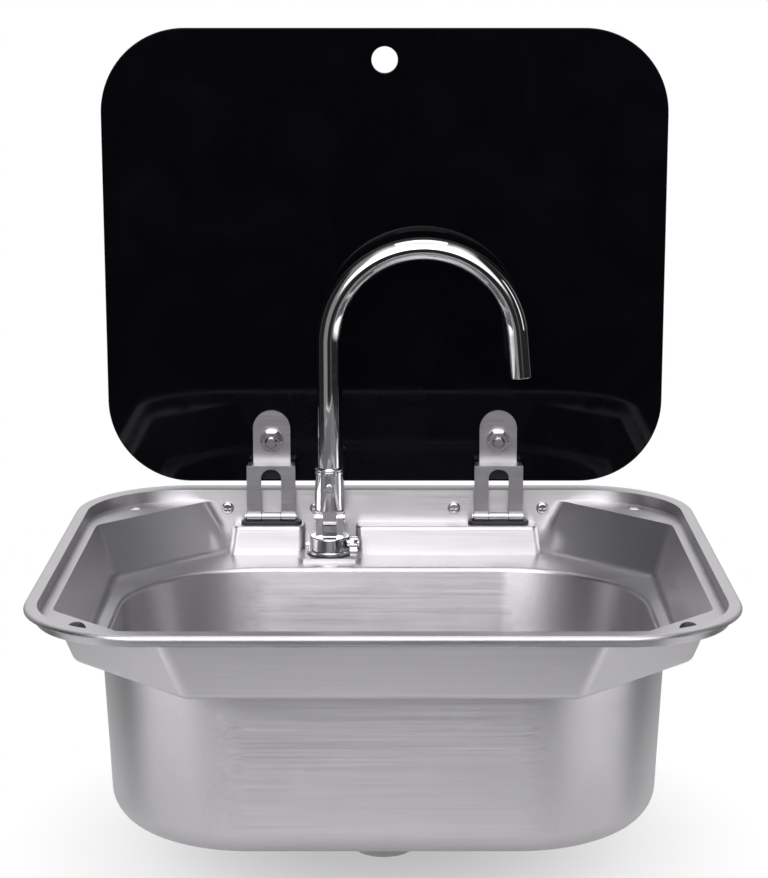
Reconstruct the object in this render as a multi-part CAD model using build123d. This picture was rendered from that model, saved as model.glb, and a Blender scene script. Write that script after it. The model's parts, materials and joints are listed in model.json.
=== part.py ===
from build123d import *
import math
import os

# Drop-in caravan sink with a hinged glass lid and a folding tap, in millimetres.
# The origin is the centre of the worktop cut-out, on the worktop's top face.
# +X is to the user's right, +Y towards the hinges, +Z up. The lid stands open.

# ---- pressed basin: rim, recess, ledges, tray and bowl ----
sheet = 1.0
rim_width = 420.0
rim_depth = 374.0
rim_corner = 74.0
rim_rise = 2.6
rim_skirt = 0.3
side_flange = 8.0
rear_flange = 17.0
front_flange = 10.5
recess_corner = 62.0
ledge_drop = 8.0
side_ledge = 7.0
ledge_chamfer = 70.0
tray_depth = 35.0
side_lean = 11.0
front_lean = 9.5
front_chamfer_growth = 2.5
rear_chamfer_growth = 8.0
tray_corner_round = 12.0
tray_floor_round = 6.0
bowl_side_margin = 13.0
bowl_front_margin = 19.5
bowl_rear_margin = 12.5
bowl_corner = 92.0
bowl_draft = 2.6
bowl_depth = 106.3
bowl_floor_round = 19.0
bowl_lip_round = 3.0

# ---- rear deck that carries the hinges, and the lower pad that carries the tap ----
deck_end_margin = 27.0
deck_drop = 15.2
deck_length = 14.0
deck_side_lean = 3.0
deck_front_lean = 2.0
deck_edge_round = 2.4
deck_corner_round = 5.0
tap_pad_rise = 3.0
tap_pad_length = 39.0
tap_pad_width = 44.0
tap_gap_width = 36.0

# ---- holes pressed through the sheet ----
fixing_hole_radius = 4.0
fixing_side_inset = 28.0
fixing_rear_inset = 22.5
fixing_front_inset = 21.0
bracket_hole_clearance = 0.2
shank_hole_clearance = 1.0
waste_hole_radius = 27.0

# ---- rubber: rim seal, lid bumpers, hinge grommets ----
seal_width = 3.5
seal_inset = 2.5
bumper_head_radius = 5.4
bumper_clearance = 0.3
bumper_dome_round = 3.6
bumper_stem_clearance = 0.1
bumper_bulge_radius = 4.9
bumper_bulge_height = 3.0
grommet_side = 3.85
grommet_border = 1.1
grommet_overlap = 0.5
grommet_lip_gap = 0.05
grommet_slot_gap = 0.4
grommet_pin_gap = 0.3
grommet_edge_round = 0.8
grommet_window_round = 0.5

# ---- glass lid ----
glass_side_gap = 7.0
glass_front_gap = 2.4
glass_thickness = 5.0
glass_corner_cut = 4.0
glass_edge_round = 1.2
glass_foot_rise = 4.1
lid_sink = 1.0
finger_hole_radius = 9.0
finger_hole_drop = 21.4

# ---- lid hinges ----
hinge_x = 80.0
hinge_wall_gap = 6.0
hinge_rise = 5.7
arm_sheet = 2.0
arm_tab_width = 26.3
arm_tab_height = 38.8
arm_leg_height = 34.3
arm_shelf_width = 33.0
arm_shelf_chamfer = 4.0
arm_leg_width = 10.0
arm_width = 34.2
arm_bridge = 0.6
arm_window_round = 6.5
arm_rib_depth = 3.2
arm_rib_width = 1.4
eye_wall = 1.6
pin_radius = 2.0
pin_clearance = 0.05
seat_clearance = 0.02
pin_overhang = 0.6
pin_head_margin = 0.6
pin_head_length = 1.0
tongue_side_gap = 0.4
tongue_sheet = 2.4
bracket_sheet = 2.0
bracket_bar_half = 37.0
bracket_bar_height = 12.2
bracket_corner_round = 4.0
bracket_foot_half = 21.0
bracket_foot_gap = 2.0
bracket_hole_spacing = 62.5
bracket_screw_rise = 10.2

# ---- fasteners ----
head_land = 0.4
bolt_rise = 17.5
bolt_radius = 4.0
bolt_head_radius = 9.0
bolt_head_height = 2.6
bolt_tail = 1.6
bolt_end_chamfer = 0.9
nut_across_flats = 13.0
nut_height = 6.5
nut_sink = 0.5
washer_radius = 8.4
washer_height = 1.2
pad_height = 1.0
pad_inset = 0.6
pad_foot_gap = 0.4
bush_wall = 2.0
glass_hole_clearance = 0.1
screw_radius = 2.0
screw_head_radius = 4.4
screw_head_height = 2.2
screw_tail = 1.4
screw_nut_flats = 7.0
screw_nut_height = 3.2
cross_slot = 1.1
cross_reach = 2.4
cross_depth = 1.1

# ---- folding tap ----
tap_x = -38.4
tap_wall_gap = 22.5
fold_rise = 12.4
base_radius = 15.5
base_height = 2.4
base_chamfer = 0.6
base_seal_height = 1.0
base_seal_overhang = 0.5
shank_radius = 10.0
shank_length = 34.0
shank_bore_radius = 7.1
inlet_radius = 7.5
inlet_length = 18.0
inlet_wall = 2.0
locknut_flats = 30.0
locknut_height = 6.0
lock_washer_radius = 15.0
lock_washer_height = 1.6
turret_radius = 14.0
turret_gap = 0.2
turret_height = 9.4
turret_edge_round = 1.2
spigot_length = 12.0
ring_section = 1.6
ring_groove_gap = 0.2
ring_drop = 8.0
cheek_thickness = 4.6
cheek_radius = 6.0
fork_gap = 9.8
fork_floor = 0.4
tongue_gap = 0.3
fold_pin_radius = 2.5
fold_pin_head_margin = 1.5
fold_pin_head_length = 1.2
sleeve_cheek_gap = 1.0
sleeve_height = 25.1
sleeve_foot_radius = 10.8
sleeve_head_radius = 9.8
collar_height = 4.0
collar_radius = 10.2
collar_groove = 0.7
collar_groove_width = 0.9
collar_groove_rise = 1.8
collar_edge_round = 0.8
set_screw_rise = 15.5
set_screw_radius = 3.6
set_screw_shank_radius = 2.3
set_screw_hole_gap = 0.1
set_screw_reach = 1.4
set_screw_stand = 1.2
set_screw_gap = 0.16
pipe_radius = 8.0
pipe_wall = 1.5
pipe_seat = 18.1
arch_radius = 65.0
pipe_rise = 91.2
arch_sweep = 175.0
arch_tail = 29.5
insert_length = 9.0
insert_wall = 1.2
insert_plate = 1.6
insert_hole_radius = 0.9
insert_holes = 6
insert_hole_ring = 3.2

# ---- valve lever on the turret ----
lever_base_gap = 0.3
lever_back_set = 3.5
spindle_radius = 3.0
spindle_length = 9.0
spindle_end_gap = 1.0
lever_hub_margin = 1.5
lever_hub_gap = 0.5
lever_length = 26.0
lever_width = 8.0
lever_thickness = 5.0
lever_waist_gap = 2.0
lever_waist_round = 1.2
lever_screw_radius = 2.6
lever_screw_height = 1.2
lever_screw_round = 0.6
lever_slot_width = 0.8
lever_slot_reach = 2.0
lever_slot_depth = 0.6

# ---- waste ----
waste_flange_overlap = 11.0
waste_flange_height = 1.2
dish_clearance = 0.6
dish_depth = 7.0
dish_floor_round = 2.0
grid_slots = 8
grid_slot_width = 3.8
grid_slot_inner = 8.0
grid_slot_outer = 19.0
gasket_height = 2.4
cup_wall = 2.2
cup_depth = 14.0
cup_flange_height = 3.0
cup_neck_height = 4.0
tail_radius = 19.0
tail_length = 26.0
cup_web_width = 4.0
cup_web_drop = 3.0
cup_web_rise = 1.0
cup_boss_radius = 6.0
cup_boss_length = 8.0
waste_screw_radius = 3.0
waste_screw_head_radius = 5.5
waste_screw_head_height = 2.0
waste_screw_end_gap = 2.0
waste_slot_width = 1.2
waste_slot_depth = 1.0
plug_side_gap = 0.4
plug_taper = 1.5
plug_height = 7.0
plug_lift_gap = 0.3
plug_edge_round = 1.5
plug_stem_radius = 2.0
plug_stem_length = 4.0
plug_neck_margin = 1.0
plug_foot_margin = 3.0
plug_knob_rim = 1.0
plug_knob_chamfer = 1.5
plug_waist_rise = 4.0
plug_knob_radius = 5.5
plug_knob_height = 9.0

# ---- places and sizes worked out from the ones above ----
rim_top = rim_rise
rim_roll = rim_rise - rim_skirt
flange_under = rim_top - sheet
recess_half = rim_width / 2 - side_flange
recess_rear = rim_depth / 2 - rear_flange
recess_front = -rim_depth / 2 + front_flange
ledge_z = rim_top - ledge_drop
tray_half = recess_half - side_ledge
tray_z = ledge_z - tray_depth
deck_z = ledge_z - deck_drop
deck_front = recess_rear - deck_length
deck_half_width = hinge_x + deck_end_margin
pad_z = tray_z + tap_pad_rise

bowl_front = recess_front + front_lean + bowl_front_margin
bowl_rear = recess_rear - tap_pad_length - bowl_rear_margin
bowl_length = bowl_rear - bowl_front
bowl_centre_y = (bowl_front + bowl_rear) / 2
bowl_width = 2 * (tray_half - side_lean - bowl_side_margin)
bowl_z = tray_z - bowl_depth

fixing_hole_x = recess_half - fixing_side_inset
rear_fixing_y = recess_rear - fixing_rear_inset
front_fixing_y = recess_front + fixing_front_inset

hinge_y = recess_rear - hinge_wall_gap
hinge_z = deck_z + hinge_rise
closed_underside = rim_top - lid_sink
lid_offset = closed_underside - hinge_z
glass_front = hinge_y + lid_offset
glass_foot = rim_top + glass_foot_rise
glass_width = 2 * (recess_half - glass_side_gap)
glass_height = hinge_y - recess_front - glass_front_gap - (glass_foot - hinge_z)
glass_corner = recess_corner - glass_corner_cut
eye_radius = pin_radius + eye_wall
pin_head_radius = pin_radius + pin_head_margin
arm_shelf_z = hinge_z + arm_leg_height
arm_tab_top = arm_shelf_z + arm_tab_height
arm_window_top = arm_shelf_z - arm_bridge
bolt_z = arm_shelf_z + bolt_rise
bush_radius = bolt_radius + bush_wall
tab_front = glass_front - pad_height - arm_sheet
nut_seat = tab_front - washer_height
tongue_half = arm_width / 2 - arm_leg_width - tongue_side_gap
bracket_screw_z = deck_z + bracket_screw_rise
bracket_foot_front = deck_front + sheet + bracket_foot_gap
grommet_window_width = arm_width + 2 * grommet_slot_gap
grommet_window_length = 2 * eye_radius + grommet_slot_gap
grommet_width = grommet_window_width + 2 * grommet_side
grommet_length = grommet_window_length + 2 * grommet_border
grommet_rise = hinge_rise - pin_head_radius - grommet_pin_gap

tap_y = recess_rear - tap_wall_gap
base_z = pad_z + base_seal_height
turret_z = base_z + base_height + turret_gap
turret_top = turret_z + turret_height
fork_half = fork_gap / 2 + cheek_thickness
tongue_width = fork_gap - 2 * tongue_gap
fold_z = turret_top + fold_rise
fold_pin_head_radius = fold_pin_radius + fold_pin_head_margin
sleeve_bottom = fold_z + cheek_radius + sleeve_cheek_gap
sleeve_top = sleeve_bottom + sleeve_height
set_screw_z = sleeve_bottom + set_screw_rise
pipe_foot = sleeve_top - pipe_seat
arch_centre_z = sleeve_top + pipe_rise
lever_hub_radius = spindle_radius + lever_hub_margin
lever_x = tap_x + turret_radius + lever_hub_gap
lever_y = tap_y - lever_back_set
lever_z = base_z + base_height + lever_base_gap + lever_hub_radius

waste_flange_radius = waste_hole_radius + waste_flange_overlap
dish_z = bowl_z - dish_depth
dish_radius = waste_hole_radius - dish_clearance
gasket_z = bowl_z - sheet - gasket_height
cup_neck_z = gasket_z - cup_depth
plug_radius = dish_radius - sheet - plug_side_gap
plug_z = dish_z + waste_screw_head_height + plug_lift_gap
overshoot = 20.0


def rounded_prism(width, front, rear, corner, bottom, top):
    """A block with rounded vertical corners, between two levels."""
    outline = RectangleRounded(width, rear - front, corner)
    return Pos(0, (front + rear) / 2, bottom) * extrude(outline, top - bottom)


def drum(radius, height, x=0.0, y=0.0, z=0.0):
    """An upright cylinder that starts at z."""
    return Pos(x, y, z) * extrude(Circle(radius), height)


def rod_x(radius, length, x, y, z):
    """A cylinder along X that starts at x."""
    return Pos(x, y, z) * Rot(0, 90, 0) * extrude(Circle(radius), length)


def rod_y(radius, length, x, y, z):
    """A cylinder along Y that starts at y."""
    return Pos(x, y, z) * Rot(-90, 0, 0) * extrude(Circle(radius), length)


def block(x_low, x_high, y_low, y_high, z_low, z_high):
    """A rectangular block between six planes."""
    size = Box(x_high - x_low, y_high - y_low, z_high - z_low)
    return Pos((x_low + x_high) / 2, (y_low + y_high) / 2, (z_low + z_high) / 2) * size


def hexagon_y(flats, length, x, y, z):
    """A hexagonal nut blank along Y that starts at y."""
    outline = RegularPolygon(flats / math.sqrt(3), 6)
    return Pos(x, y, z) * Rot(-90, 0, 0) * extrude(outline, length)


def leaning_wall(top_point, foot_point, along, growth):
    """The plane of a tray wall, moved outwards by growth."""
    slope = Vector(*foot_point) - Vector(*top_point)
    normal = Vector(*along).cross(slope).normalized()
    if normal.Y * top_point[1] + normal.X * top_point[0] < 0:
        normal = normal * -1
    return Plane(Vector(*top_point) + normal * growth, z_dir=normal)


def tray_form(growth):
    """The eight-sided tray below the ledges, grown outwards by growth."""
    foot_half = tray_half - side_lean
    foot_front = recess_front + front_lean
    solid = block(-tray_half - overshoot, tray_half + overshoot, recess_front - overshoot,
                  recess_rear + overshoot, tray_z - growth, ledge_z)
    planes = [leaning_wall((0, recess_front, ledge_z), (0, foot_front, tray_z), (1, 0, 0), growth)]
    planes.append(Plane((0, recess_rear + growth, 0), z_dir=(0, 1, 0)))
    rear_sum = tray_half + recess_rear - ledge_chamfer
    rear_foot = foot_half + recess_rear - ledge_chamfer - rear_chamfer_growth
    front_sum = tray_half - recess_front - ledge_chamfer
    front_foot = foot_half - foot_front - ledge_chamfer - front_chamfer_growth
    for side in (-1, 1):
        top = (side * tray_half, 0, ledge_z)
        planes.append(leaning_wall(top, (side * foot_half, 0, tray_z), (0, 1, 0), growth))
        rear_top = (side * rear_sum / 2, rear_sum / 2, ledge_z)
        rear_bottom = (side * rear_foot / 2, rear_foot / 2, tray_z)
        planes.append(leaning_wall(rear_top, rear_bottom, (side, -1, 0), growth))
        front_top = (side * front_sum / 2, -front_sum / 2, ledge_z)
        front_bottom = (side * front_foot / 2, -front_foot / 2, tray_z)
        planes.append(leaning_wall(front_top, front_bottom, (side, 1, 0), growth))
    for plane in planes:
        solid = split(solid, bisect_by=plane, keep=Keep.BOTTOM)
    upright = [edge for edge in solid.edges()
               if abs(edge.tangent_at(0.5).Z) > 0.5]
    solid = fillet(upright, tray_corner_round + growth)
    floor = solid.faces().sort_by(Axis.Z)[0]
    return fillet(floor.edges(), tray_floor_round + growth)


def bowl_form(growth):
    """The deep bowl below the tray floor, grown outwards by growth."""
    outline = RectangleRounded(bowl_width + 2 * growth, bowl_length + 2 * growth,
                               bowl_corner + growth)
    height = bowl_depth + growth
    solid = Pos(0, bowl_centre_y, tray_z) * extrude(outline, height, dir=(0, 0, -1),
                                                    taper=bowl_draft)
    floor = solid.faces().sort_by(Axis.Z)[0]
    return fillet(floor.edges(), bowl_floor_round + growth)


def deck_step(x_end, x_gap, growth):
    """One raised step of the rear deck, from its sloping end to the tap's gap."""
    side = 1 if x_end > x_gap else -1
    top = deck_z - growth
    front = deck_front + growth
    inner = x_gap + side * growth
    outer = x_end - side * growth
    solid = block(min(inner, outer + side * overshoot), max(inner, outer + side * overshoot),
                  front - overshoot, recess_rear + overshoot, tray_z - overshoot, top)
    rise = top - (tray_z - growth)
    end_tilt = Vector(side * rise, 0, deck_side_lean).normalized()
    front_tilt = Vector(0, -rise, deck_front_lean).normalized()
    solid = split(solid, bisect_by=Plane((outer, 0, top), z_dir=end_tilt), keep=Keep.BOTTOM)
    solid = split(solid, bisect_by=Plane((0, front, top), z_dir=front_tilt), keep=Keep.BOTTOM)
    corners = [edge for edge in solid.edges()
               if abs(edge.tangent_at(0.5).Z) > 0.5 and edge.center().Y < recess_rear]
    solid = fillet(corners, deck_corner_round - growth)
    lid = solid.faces().sort_by(Axis.Z)[-1]
    rims = [edge for edge in lid.edges() if edge.center().Y < recess_rear + overshoot - 1]
    return fillet(rims, deck_edge_round - growth)


def tap_pad(growth):
    """The low pad in the middle of the deck, under the tap."""
    half = tap_pad_width / 2 - growth
    solid = block(tap_x - half, tap_x + half, recess_rear - tap_pad_length + growth,
                  recess_rear + overshoot, tray_z - overshoot, pad_z - growth)
    front = recess_rear - tap_pad_length + growth
    corners = [edge for edge in solid.edges()
               if abs(edge.tangent_at(0.5).Z) > 0.5 and edge.center().Y < front + 1]
    return fillet(corners, deck_corner_round - growth)


def pan_form(growth, top):
    """Recess, tray and bowl together; growth makes the outer side of the sheet."""
    recess = rounded_prism(2 * (recess_half + growth), recess_front - growth,
                           recess_rear + growth, recess_corner + growth,
                           ledge_z - growth, top)
    solid = recess + tray_form(growth) + bowl_form(growth)
    outline = Pos(0, bowl_centre_y, tray_z - growth) * RectangleRounded(
        bowl_width + 2 * growth, bowl_length + 2 * growth, bowl_corner + growth)
    lip = [edge for edge in solid.edges()
           if outline.wire().distance_to(edge @ 0.5) < 0.2
           and abs((edge @ 0.5).Z - tray_z + growth) < 0.01]
    solid = fillet(lip, bowl_lip_round - growth)
    solid -= deck_step(-deck_half_width, tap_x - tap_gap_width / 2, growth)
    solid -= deck_step(deck_half_width, tap_x + tap_gap_width / 2, growth)
    return solid - tap_pad(growth)


def rim_plate():
    """The flat rim with its rolled-down edge, hollow below."""
    half = rim_depth / 2
    plate = rounded_prism(rim_width, -half, half, rim_corner, 0, rim_top)
    plate = fillet(plate.faces().sort_by(Axis.Z)[-1].edges(), rim_roll)
    hollow = rounded_prism(rim_width - 2 * sheet, sheet - half, half - sheet,
                           rim_corner - sheet, -sheet, flange_under)
    hollow = fillet(hollow.faces().sort_by(Axis.Z)[-1].edges(), rim_roll - sheet)
    return plate - hollow


def make_basin():
    basin = rim_plate() + pan_form(sheet, flange_under + sheet / 2)
    basin -= pan_form(0.0, rim_top + overshoot)
    through = overshoot
    for x in (-fixing_hole_x, fixing_hole_x):
        for y in (rear_fixing_y, front_fixing_y):
            basin -= drum(fixing_hole_radius, through, x, y, ledge_z - through / 2)
    for centre in (-hinge_x, hinge_x):
        slot = SlotOverall(grommet_width - 2 * grommet_overlap,
                           grommet_length - 2 * grommet_overlap)
        basin -= Pos(centre, hinge_y, deck_z - through / 4) * extrude(slot, through / 2)
    for x, z in bracket_screw_places():
        basin -= rod_y(screw_radius + bracket_hole_clearance, through, x,
                       recess_rear - through / 2, z)
    basin -= drum(shank_radius + shank_hole_clearance, through / 2, tap_x, tap_y,
                  pad_z - through / 4)
    basin -= drum(waste_hole_radius, through, 0, bowl_centre_y, bowl_z - through / 2)
    return basin


def bracket_screw_places():
    half = bracket_hole_spacing / 2
    return [(centre + step, bracket_screw_z)
            for centre in (-hinge_x, hinge_x) for step in (-half, half)]


def make_rim_seal():
    """The foam strip between the rim and the worktop."""
    outer = rounded_prism(rim_width - 2 * seal_inset, seal_inset - rim_depth / 2,
                          rim_depth / 2 - seal_inset, rim_corner - seal_inset, 0, flange_under)
    inset = seal_inset + seal_width
    inner = rounded_prism(rim_width - 2 * inset, inset - rim_depth / 2,
                          rim_depth / 2 - inset, rim_corner - inset, -1, flange_under + 1)
    return outer - inner


def make_bumper(x):
    """A domed rubber stop in the front ledge that the closed lid rests on."""
    height = closed_underside - bumper_clearance - ledge_z
    head = drum(bumper_head_radius, height, x, front_fixing_y, ledge_z)
    head = fillet(head.faces().sort_by(Axis.Z)[-1].edges(), bumper_dome_round)
    stem_radius = fixing_hole_radius - bumper_stem_clearance
    under = ledge_z - sheet
    stem = drum(stem_radius, sheet, x, front_fixing_y, under)
    bulge = Pos(x, front_fixing_y, under - bumper_bulge_height) * Cone(
        stem_radius - 1, bumper_bulge_radius, bumper_bulge_height,
        align=(Align.CENTER, Align.CENTER, Align.MIN))
    return head + stem + bulge


def make_grommet(x):
    """The rubber frame round the hinge slot, with a lip down through the deck."""
    frame = extrude(SlotOverall(grommet_width, grommet_length), grommet_rise)
    frame = fillet(frame.faces().sort_by(Axis.Z)[-1].edges(), grommet_edge_round)
    inset = 2 * (grommet_overlap + grommet_lip_gap)
    lip = SlotOverall(grommet_width - inset, grommet_length - inset)
    lip = Pos(0, 0, -sheet) * extrude(lip, sheet)
    window = RectangleRounded(grommet_window_width, grommet_window_length, grommet_window_round)
    window = Pos(0, 0, -overshoot) * extrude(window, 2 * overshoot)
    return Pos(x, hinge_y, deck_z) * (frame + lip - window)


def make_bracket(x):
    """The pressed bracket behind the rear wall, with the tongue that holds the pin."""
    wall_back = recess_rear + sheet
    foot_top = deck_z - sheet
    foot_bottom = foot_top - bracket_sheet
    bar_low = bracket_screw_z - bracket_bar_height / 2
    bar = block(x - bracket_bar_half, x + bracket_bar_half, wall_back,
                wall_back + bracket_sheet, bar_low, bar_low + bracket_bar_height)
    bar = fillet(bar.edges().filter_by(Axis.Y), bracket_corner_round)
    drop = block(x - bracket_foot_half, x + bracket_foot_half, wall_back,
                 wall_back + bracket_sheet, foot_bottom, bar_low + bracket_corner_round)
    foot = block(x - bracket_foot_half, x + bracket_foot_half, bracket_foot_front,
                 wall_back + bracket_sheet, foot_bottom, foot_top)
    half = tongue_half
    tongue = block(x - half, x + half, hinge_y - tongue_sheet / 2, hinge_y + tongue_sheet / 2,
                   foot_bottom, hinge_z)
    eye = rod_x(eye_radius, 2 * half, x - half, hinge_y, hinge_z)
    bracket = bar + drop + foot + tongue + eye
    bracket -= rod_x(pin_radius + seat_clearance, 2 * half + 2, x - half - 1, hinge_y, hinge_z)
    for hole_x, hole_z in bracket_screw_places():
        bracket -= rod_y(screw_radius + bracket_hole_clearance, overshoot, hole_x,
                         wall_back - 1, hole_z)
    return bracket


def make_hinge_pin(x):
    half = arm_width / 2 + pin_overhang
    pin = rod_x(pin_radius, 2 * half, x - half, hinge_y, hinge_z)
    pin += rod_x(pin_head_radius, pin_head_length, x - half - pin_head_length, hinge_y, hinge_z)
    return pin


def make_bracket_screws():
    """Four cross-head screws through the rear wall into the brackets."""
    length = sheet + bracket_sheet + screw_nut_height + screw_tail
    screws = []
    for x, z in bracket_screw_places():
        head = rod_y(screw_head_radius, screw_head_height, x, recess_rear - screw_head_height, z)
        head = fillet(head.faces().sort_by(Axis.Y)[0].edges(), screw_head_height - head_land)
        slot_y = recess_rear - screw_head_height
        for wide, tall in ((cross_reach, cross_slot / 2), (cross_slot / 2, cross_reach)):
            head -= block(x - wide, x + wide, slot_y - 1, slot_y + cross_depth, z - tall, z + tall)
        screws.append(head + rod_y(screw_radius, length, x, recess_rear, z))
    return Compound(children=screws)


def make_bracket_nuts():
    seat = recess_rear + sheet + bracket_sheet
    nuts = []
    for x, z in bracket_screw_places():
        nut = hexagon_y(screw_nut_flats, screw_nut_height, x, seat, z)
        nuts.append(nut - rod_y(screw_radius + seat_clearance, overshoot, x, seat - 1, z))
    return Compound(children=nuts)


def make_glass():
    """The black glass lid, standing open behind the hinges."""
    outline = RectangleRounded(glass_width, glass_height, glass_corner)
    glass = extrude(outline, glass_thickness)
    rims = [edge for face in (glass.faces().sort_by(Axis.Z)[0], glass.faces().sort_by(Axis.Z)[-1])
            for edge in face.edges()]
    glass = fillet(rims, glass_edge_round)
    hole_y = glass_height / 2 - finger_hole_drop
    glass -= drum(finger_hole_radius, overshoot, 0, hole_y, -1)
    bolt_y = bolt_z - glass_foot - glass_height / 2
    for x in (-hinge_x, hinge_x):
        glass -= drum(bush_radius + glass_hole_clearance, overshoot, x, bolt_y, -1)
    return Pos(0, glass_front + glass_thickness, glass_foot + glass_height / 2) * Rot(90, 0, 0) * glass


def arm_tab():
    """The upright tab that is bolted to the glass."""
    radius = arm_tab_width / 2
    low = arm_shelf_z
    high = arm_tab_top - radius
    tab = block(-radius, radius, tab_front, tab_front + arm_sheet, low, high)
    return tab + rod_y(radius, arm_sheet, 0, tab_front, high)


def arm_shelf():
    """The level shelf between the tab and the legs, with clipped corners."""
    half = arm_shelf_width / 2
    front = hinge_y - arm_sheet / 2
    rear = tab_front + arm_sheet
    clip = arm_shelf_chamfer
    outline = Polygon((-half, front), (half, front), (half, rear - clip), (half - clip, rear),
                      (clip - half, rear), (-half, rear - clip), align=None)
    return Pos(0, 0, arm_shelf_z) * extrude(outline, arm_sheet)


def arm_legs():
    """Two legs on an arch, with ribbed inner edges and rolled eyes."""
    half = arm_width / 2
    front = hinge_y - arm_sheet / 2
    legs = block(-half, half, front, front + arm_sheet, hinge_z, arm_shelf_z + arm_sheet)
    inner = half - arm_leg_width
    window = block(-inner, inner, front - 1, front + arm_rib_depth + 1, hinge_z - 1, arm_window_top)
    top_corners = window.edges().filter_by(Axis.Y).group_by(Axis.Z)[-1]
    window = fillet(top_corners, arm_window_round)
    rib_half = inner + arm_rib_width
    ribs = block(-rib_half, rib_half, front, front + arm_rib_depth, eye_radius + hinge_z,
                 arm_window_top + arm_rib_width)
    rib_corners = ribs.edges().filter_by(Axis.Y).group_by(Axis.Z)[-1]
    ribs = fillet(rib_corners, arm_window_round + arm_rib_width)
    legs = legs + ribs - window
    for low in (-half, inner):
        legs += rod_x(eye_radius, arm_leg_width, low, hinge_y, hinge_z)
    return legs


def make_hinge_arm(x):
    arm = arm_tab() + arm_shelf() + arm_legs()
    half = arm_width / 2
    arm -= rod_x(pin_radius + pin_clearance, 2 * half + 2, -half - 1, hinge_y, hinge_z)
    arm -= rod_y(bolt_radius + seat_clearance, overshoot, 0, tab_front - 1, bolt_z)
    return Pos(x, 0, 0) * arm


def make_glass_pad(x):
    """The thin rubber pad between the tab and the glass."""
    radius = arm_tab_width / 2 - pad_inset
    centre = arm_tab_top - arm_tab_width / 2
    y = tab_front + arm_sheet
    low = glass_foot + glass_edge_round + pad_foot_gap
    pad = block(-radius, radius, y, y + pad_height, low, centre) + rod_y(radius, pad_height, 0, y, centre)
    pad -= rod_y(bolt_radius + seat_clearance, overshoot, 0, y - 1, bolt_z)
    return Pos(x, 0, 0) * pad


def make_bush(x):
    """The nylon bush that keeps the bolt off the glass."""
    bush = rod_y(bush_radius, glass_thickness, x, glass_front, bolt_z)
    return bush - rod_y(bolt_radius + seat_clearance, overshoot, x, glass_front - 1, bolt_z)


def make_lid_bolt(x):
    """A round-headed bolt from the back of the glass."""
    back = glass_front + glass_thickness
    length = back - nut_seat + nut_height + bolt_tail
    bolt = rod_y(bolt_radius, length, x, back - length, bolt_z)
    bolt = chamfer(bolt.faces().sort_by(Axis.Y)[0].edges(), bolt_end_chamfer)
    head = rod_y(bolt_head_radius, bolt_head_height, x, back, bolt_z)
    return bolt + fillet(head.faces().sort_by(Axis.Y)[-1].edges(), bolt_head_height - head_land)


def make_lid_washer(x):
    washer = rod_y(washer_radius, washer_height, x, nut_seat, bolt_z)
    return washer - rod_y(bolt_radius + seat_clearance, overshoot, x, nut_seat - 1, bolt_z)


def make_lid_nut(x):
    low = nut_seat - nut_height
    nut = hexagon_y(nut_across_flats, nut_height, x, low, bolt_z)
    crown = Pos(x, low, bolt_z) * Rot(-90, 0, 0) * Cone(
        nut_across_flats / 2, nut_across_flats / 2 + nut_height, nut_height,
        align=(Align.CENTER, Align.CENTER, Align.MIN))
    sink = Pos(x, low, bolt_z) * Rot(-90, 0, 0) * Cone(
        bolt_radius + nut_sink, bolt_radius, nut_sink, align=(Align.CENTER, Align.CENTER, Align.MIN))
    nut = (nut & crown) - sink
    return nut - rod_y(bolt_radius + seat_clearance, overshoot, x, low - 1, bolt_z)


def make_tap_base():
    """The fixed flange of the tap, with its threaded shank and water inlet."""
    tail_end = base_z - shank_length - inlet_length
    flange = drum(base_radius, base_height, tap_x, tap_y, base_z)
    flange = chamfer(flange.faces().sort_by(Axis.Z)[-1].edges(), base_chamfer)
    shank = drum(shank_radius, shank_length, tap_x, tap_y, base_z - shank_length)
    tail = drum(inlet_radius, inlet_length, tap_x, tap_y, tail_end)
    base = flange + shank + tail
    base -= drum(shank_bore_radius + pin_clearance, overshoot, tap_x, tap_y,
                 turret_z - spigot_length - 1)
    return base - drum(inlet_radius - inlet_wall, shank_length + inlet_length, tap_x, tap_y,
                       tail_end - 1)


def make_base_seal():
    seal = drum(base_radius + base_seal_overhang, base_seal_height, tap_x, tap_y, pad_z)
    return seal - drum(shank_radius + seat_clearance, overshoot, tap_x, tap_y, pad_z - 1)


def make_lock_washer():
    low = pad_z - sheet - lock_washer_height
    washer = drum(lock_washer_radius, lock_washer_height, tap_x, tap_y, low)
    return washer - drum(shank_radius + seat_clearance, overshoot, tap_x, tap_y, low - 1)


def make_locknut():
    low = pad_z - sheet - lock_washer_height - locknut_height
    nut = Pos(tap_x, tap_y, low) * extrude(RegularPolygon(locknut_flats / math.sqrt(3), 6),
                                           locknut_height)
    return nut - drum(shank_radius + seat_clearance, overshoot, tap_x, tap_y, low - 1)


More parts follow.
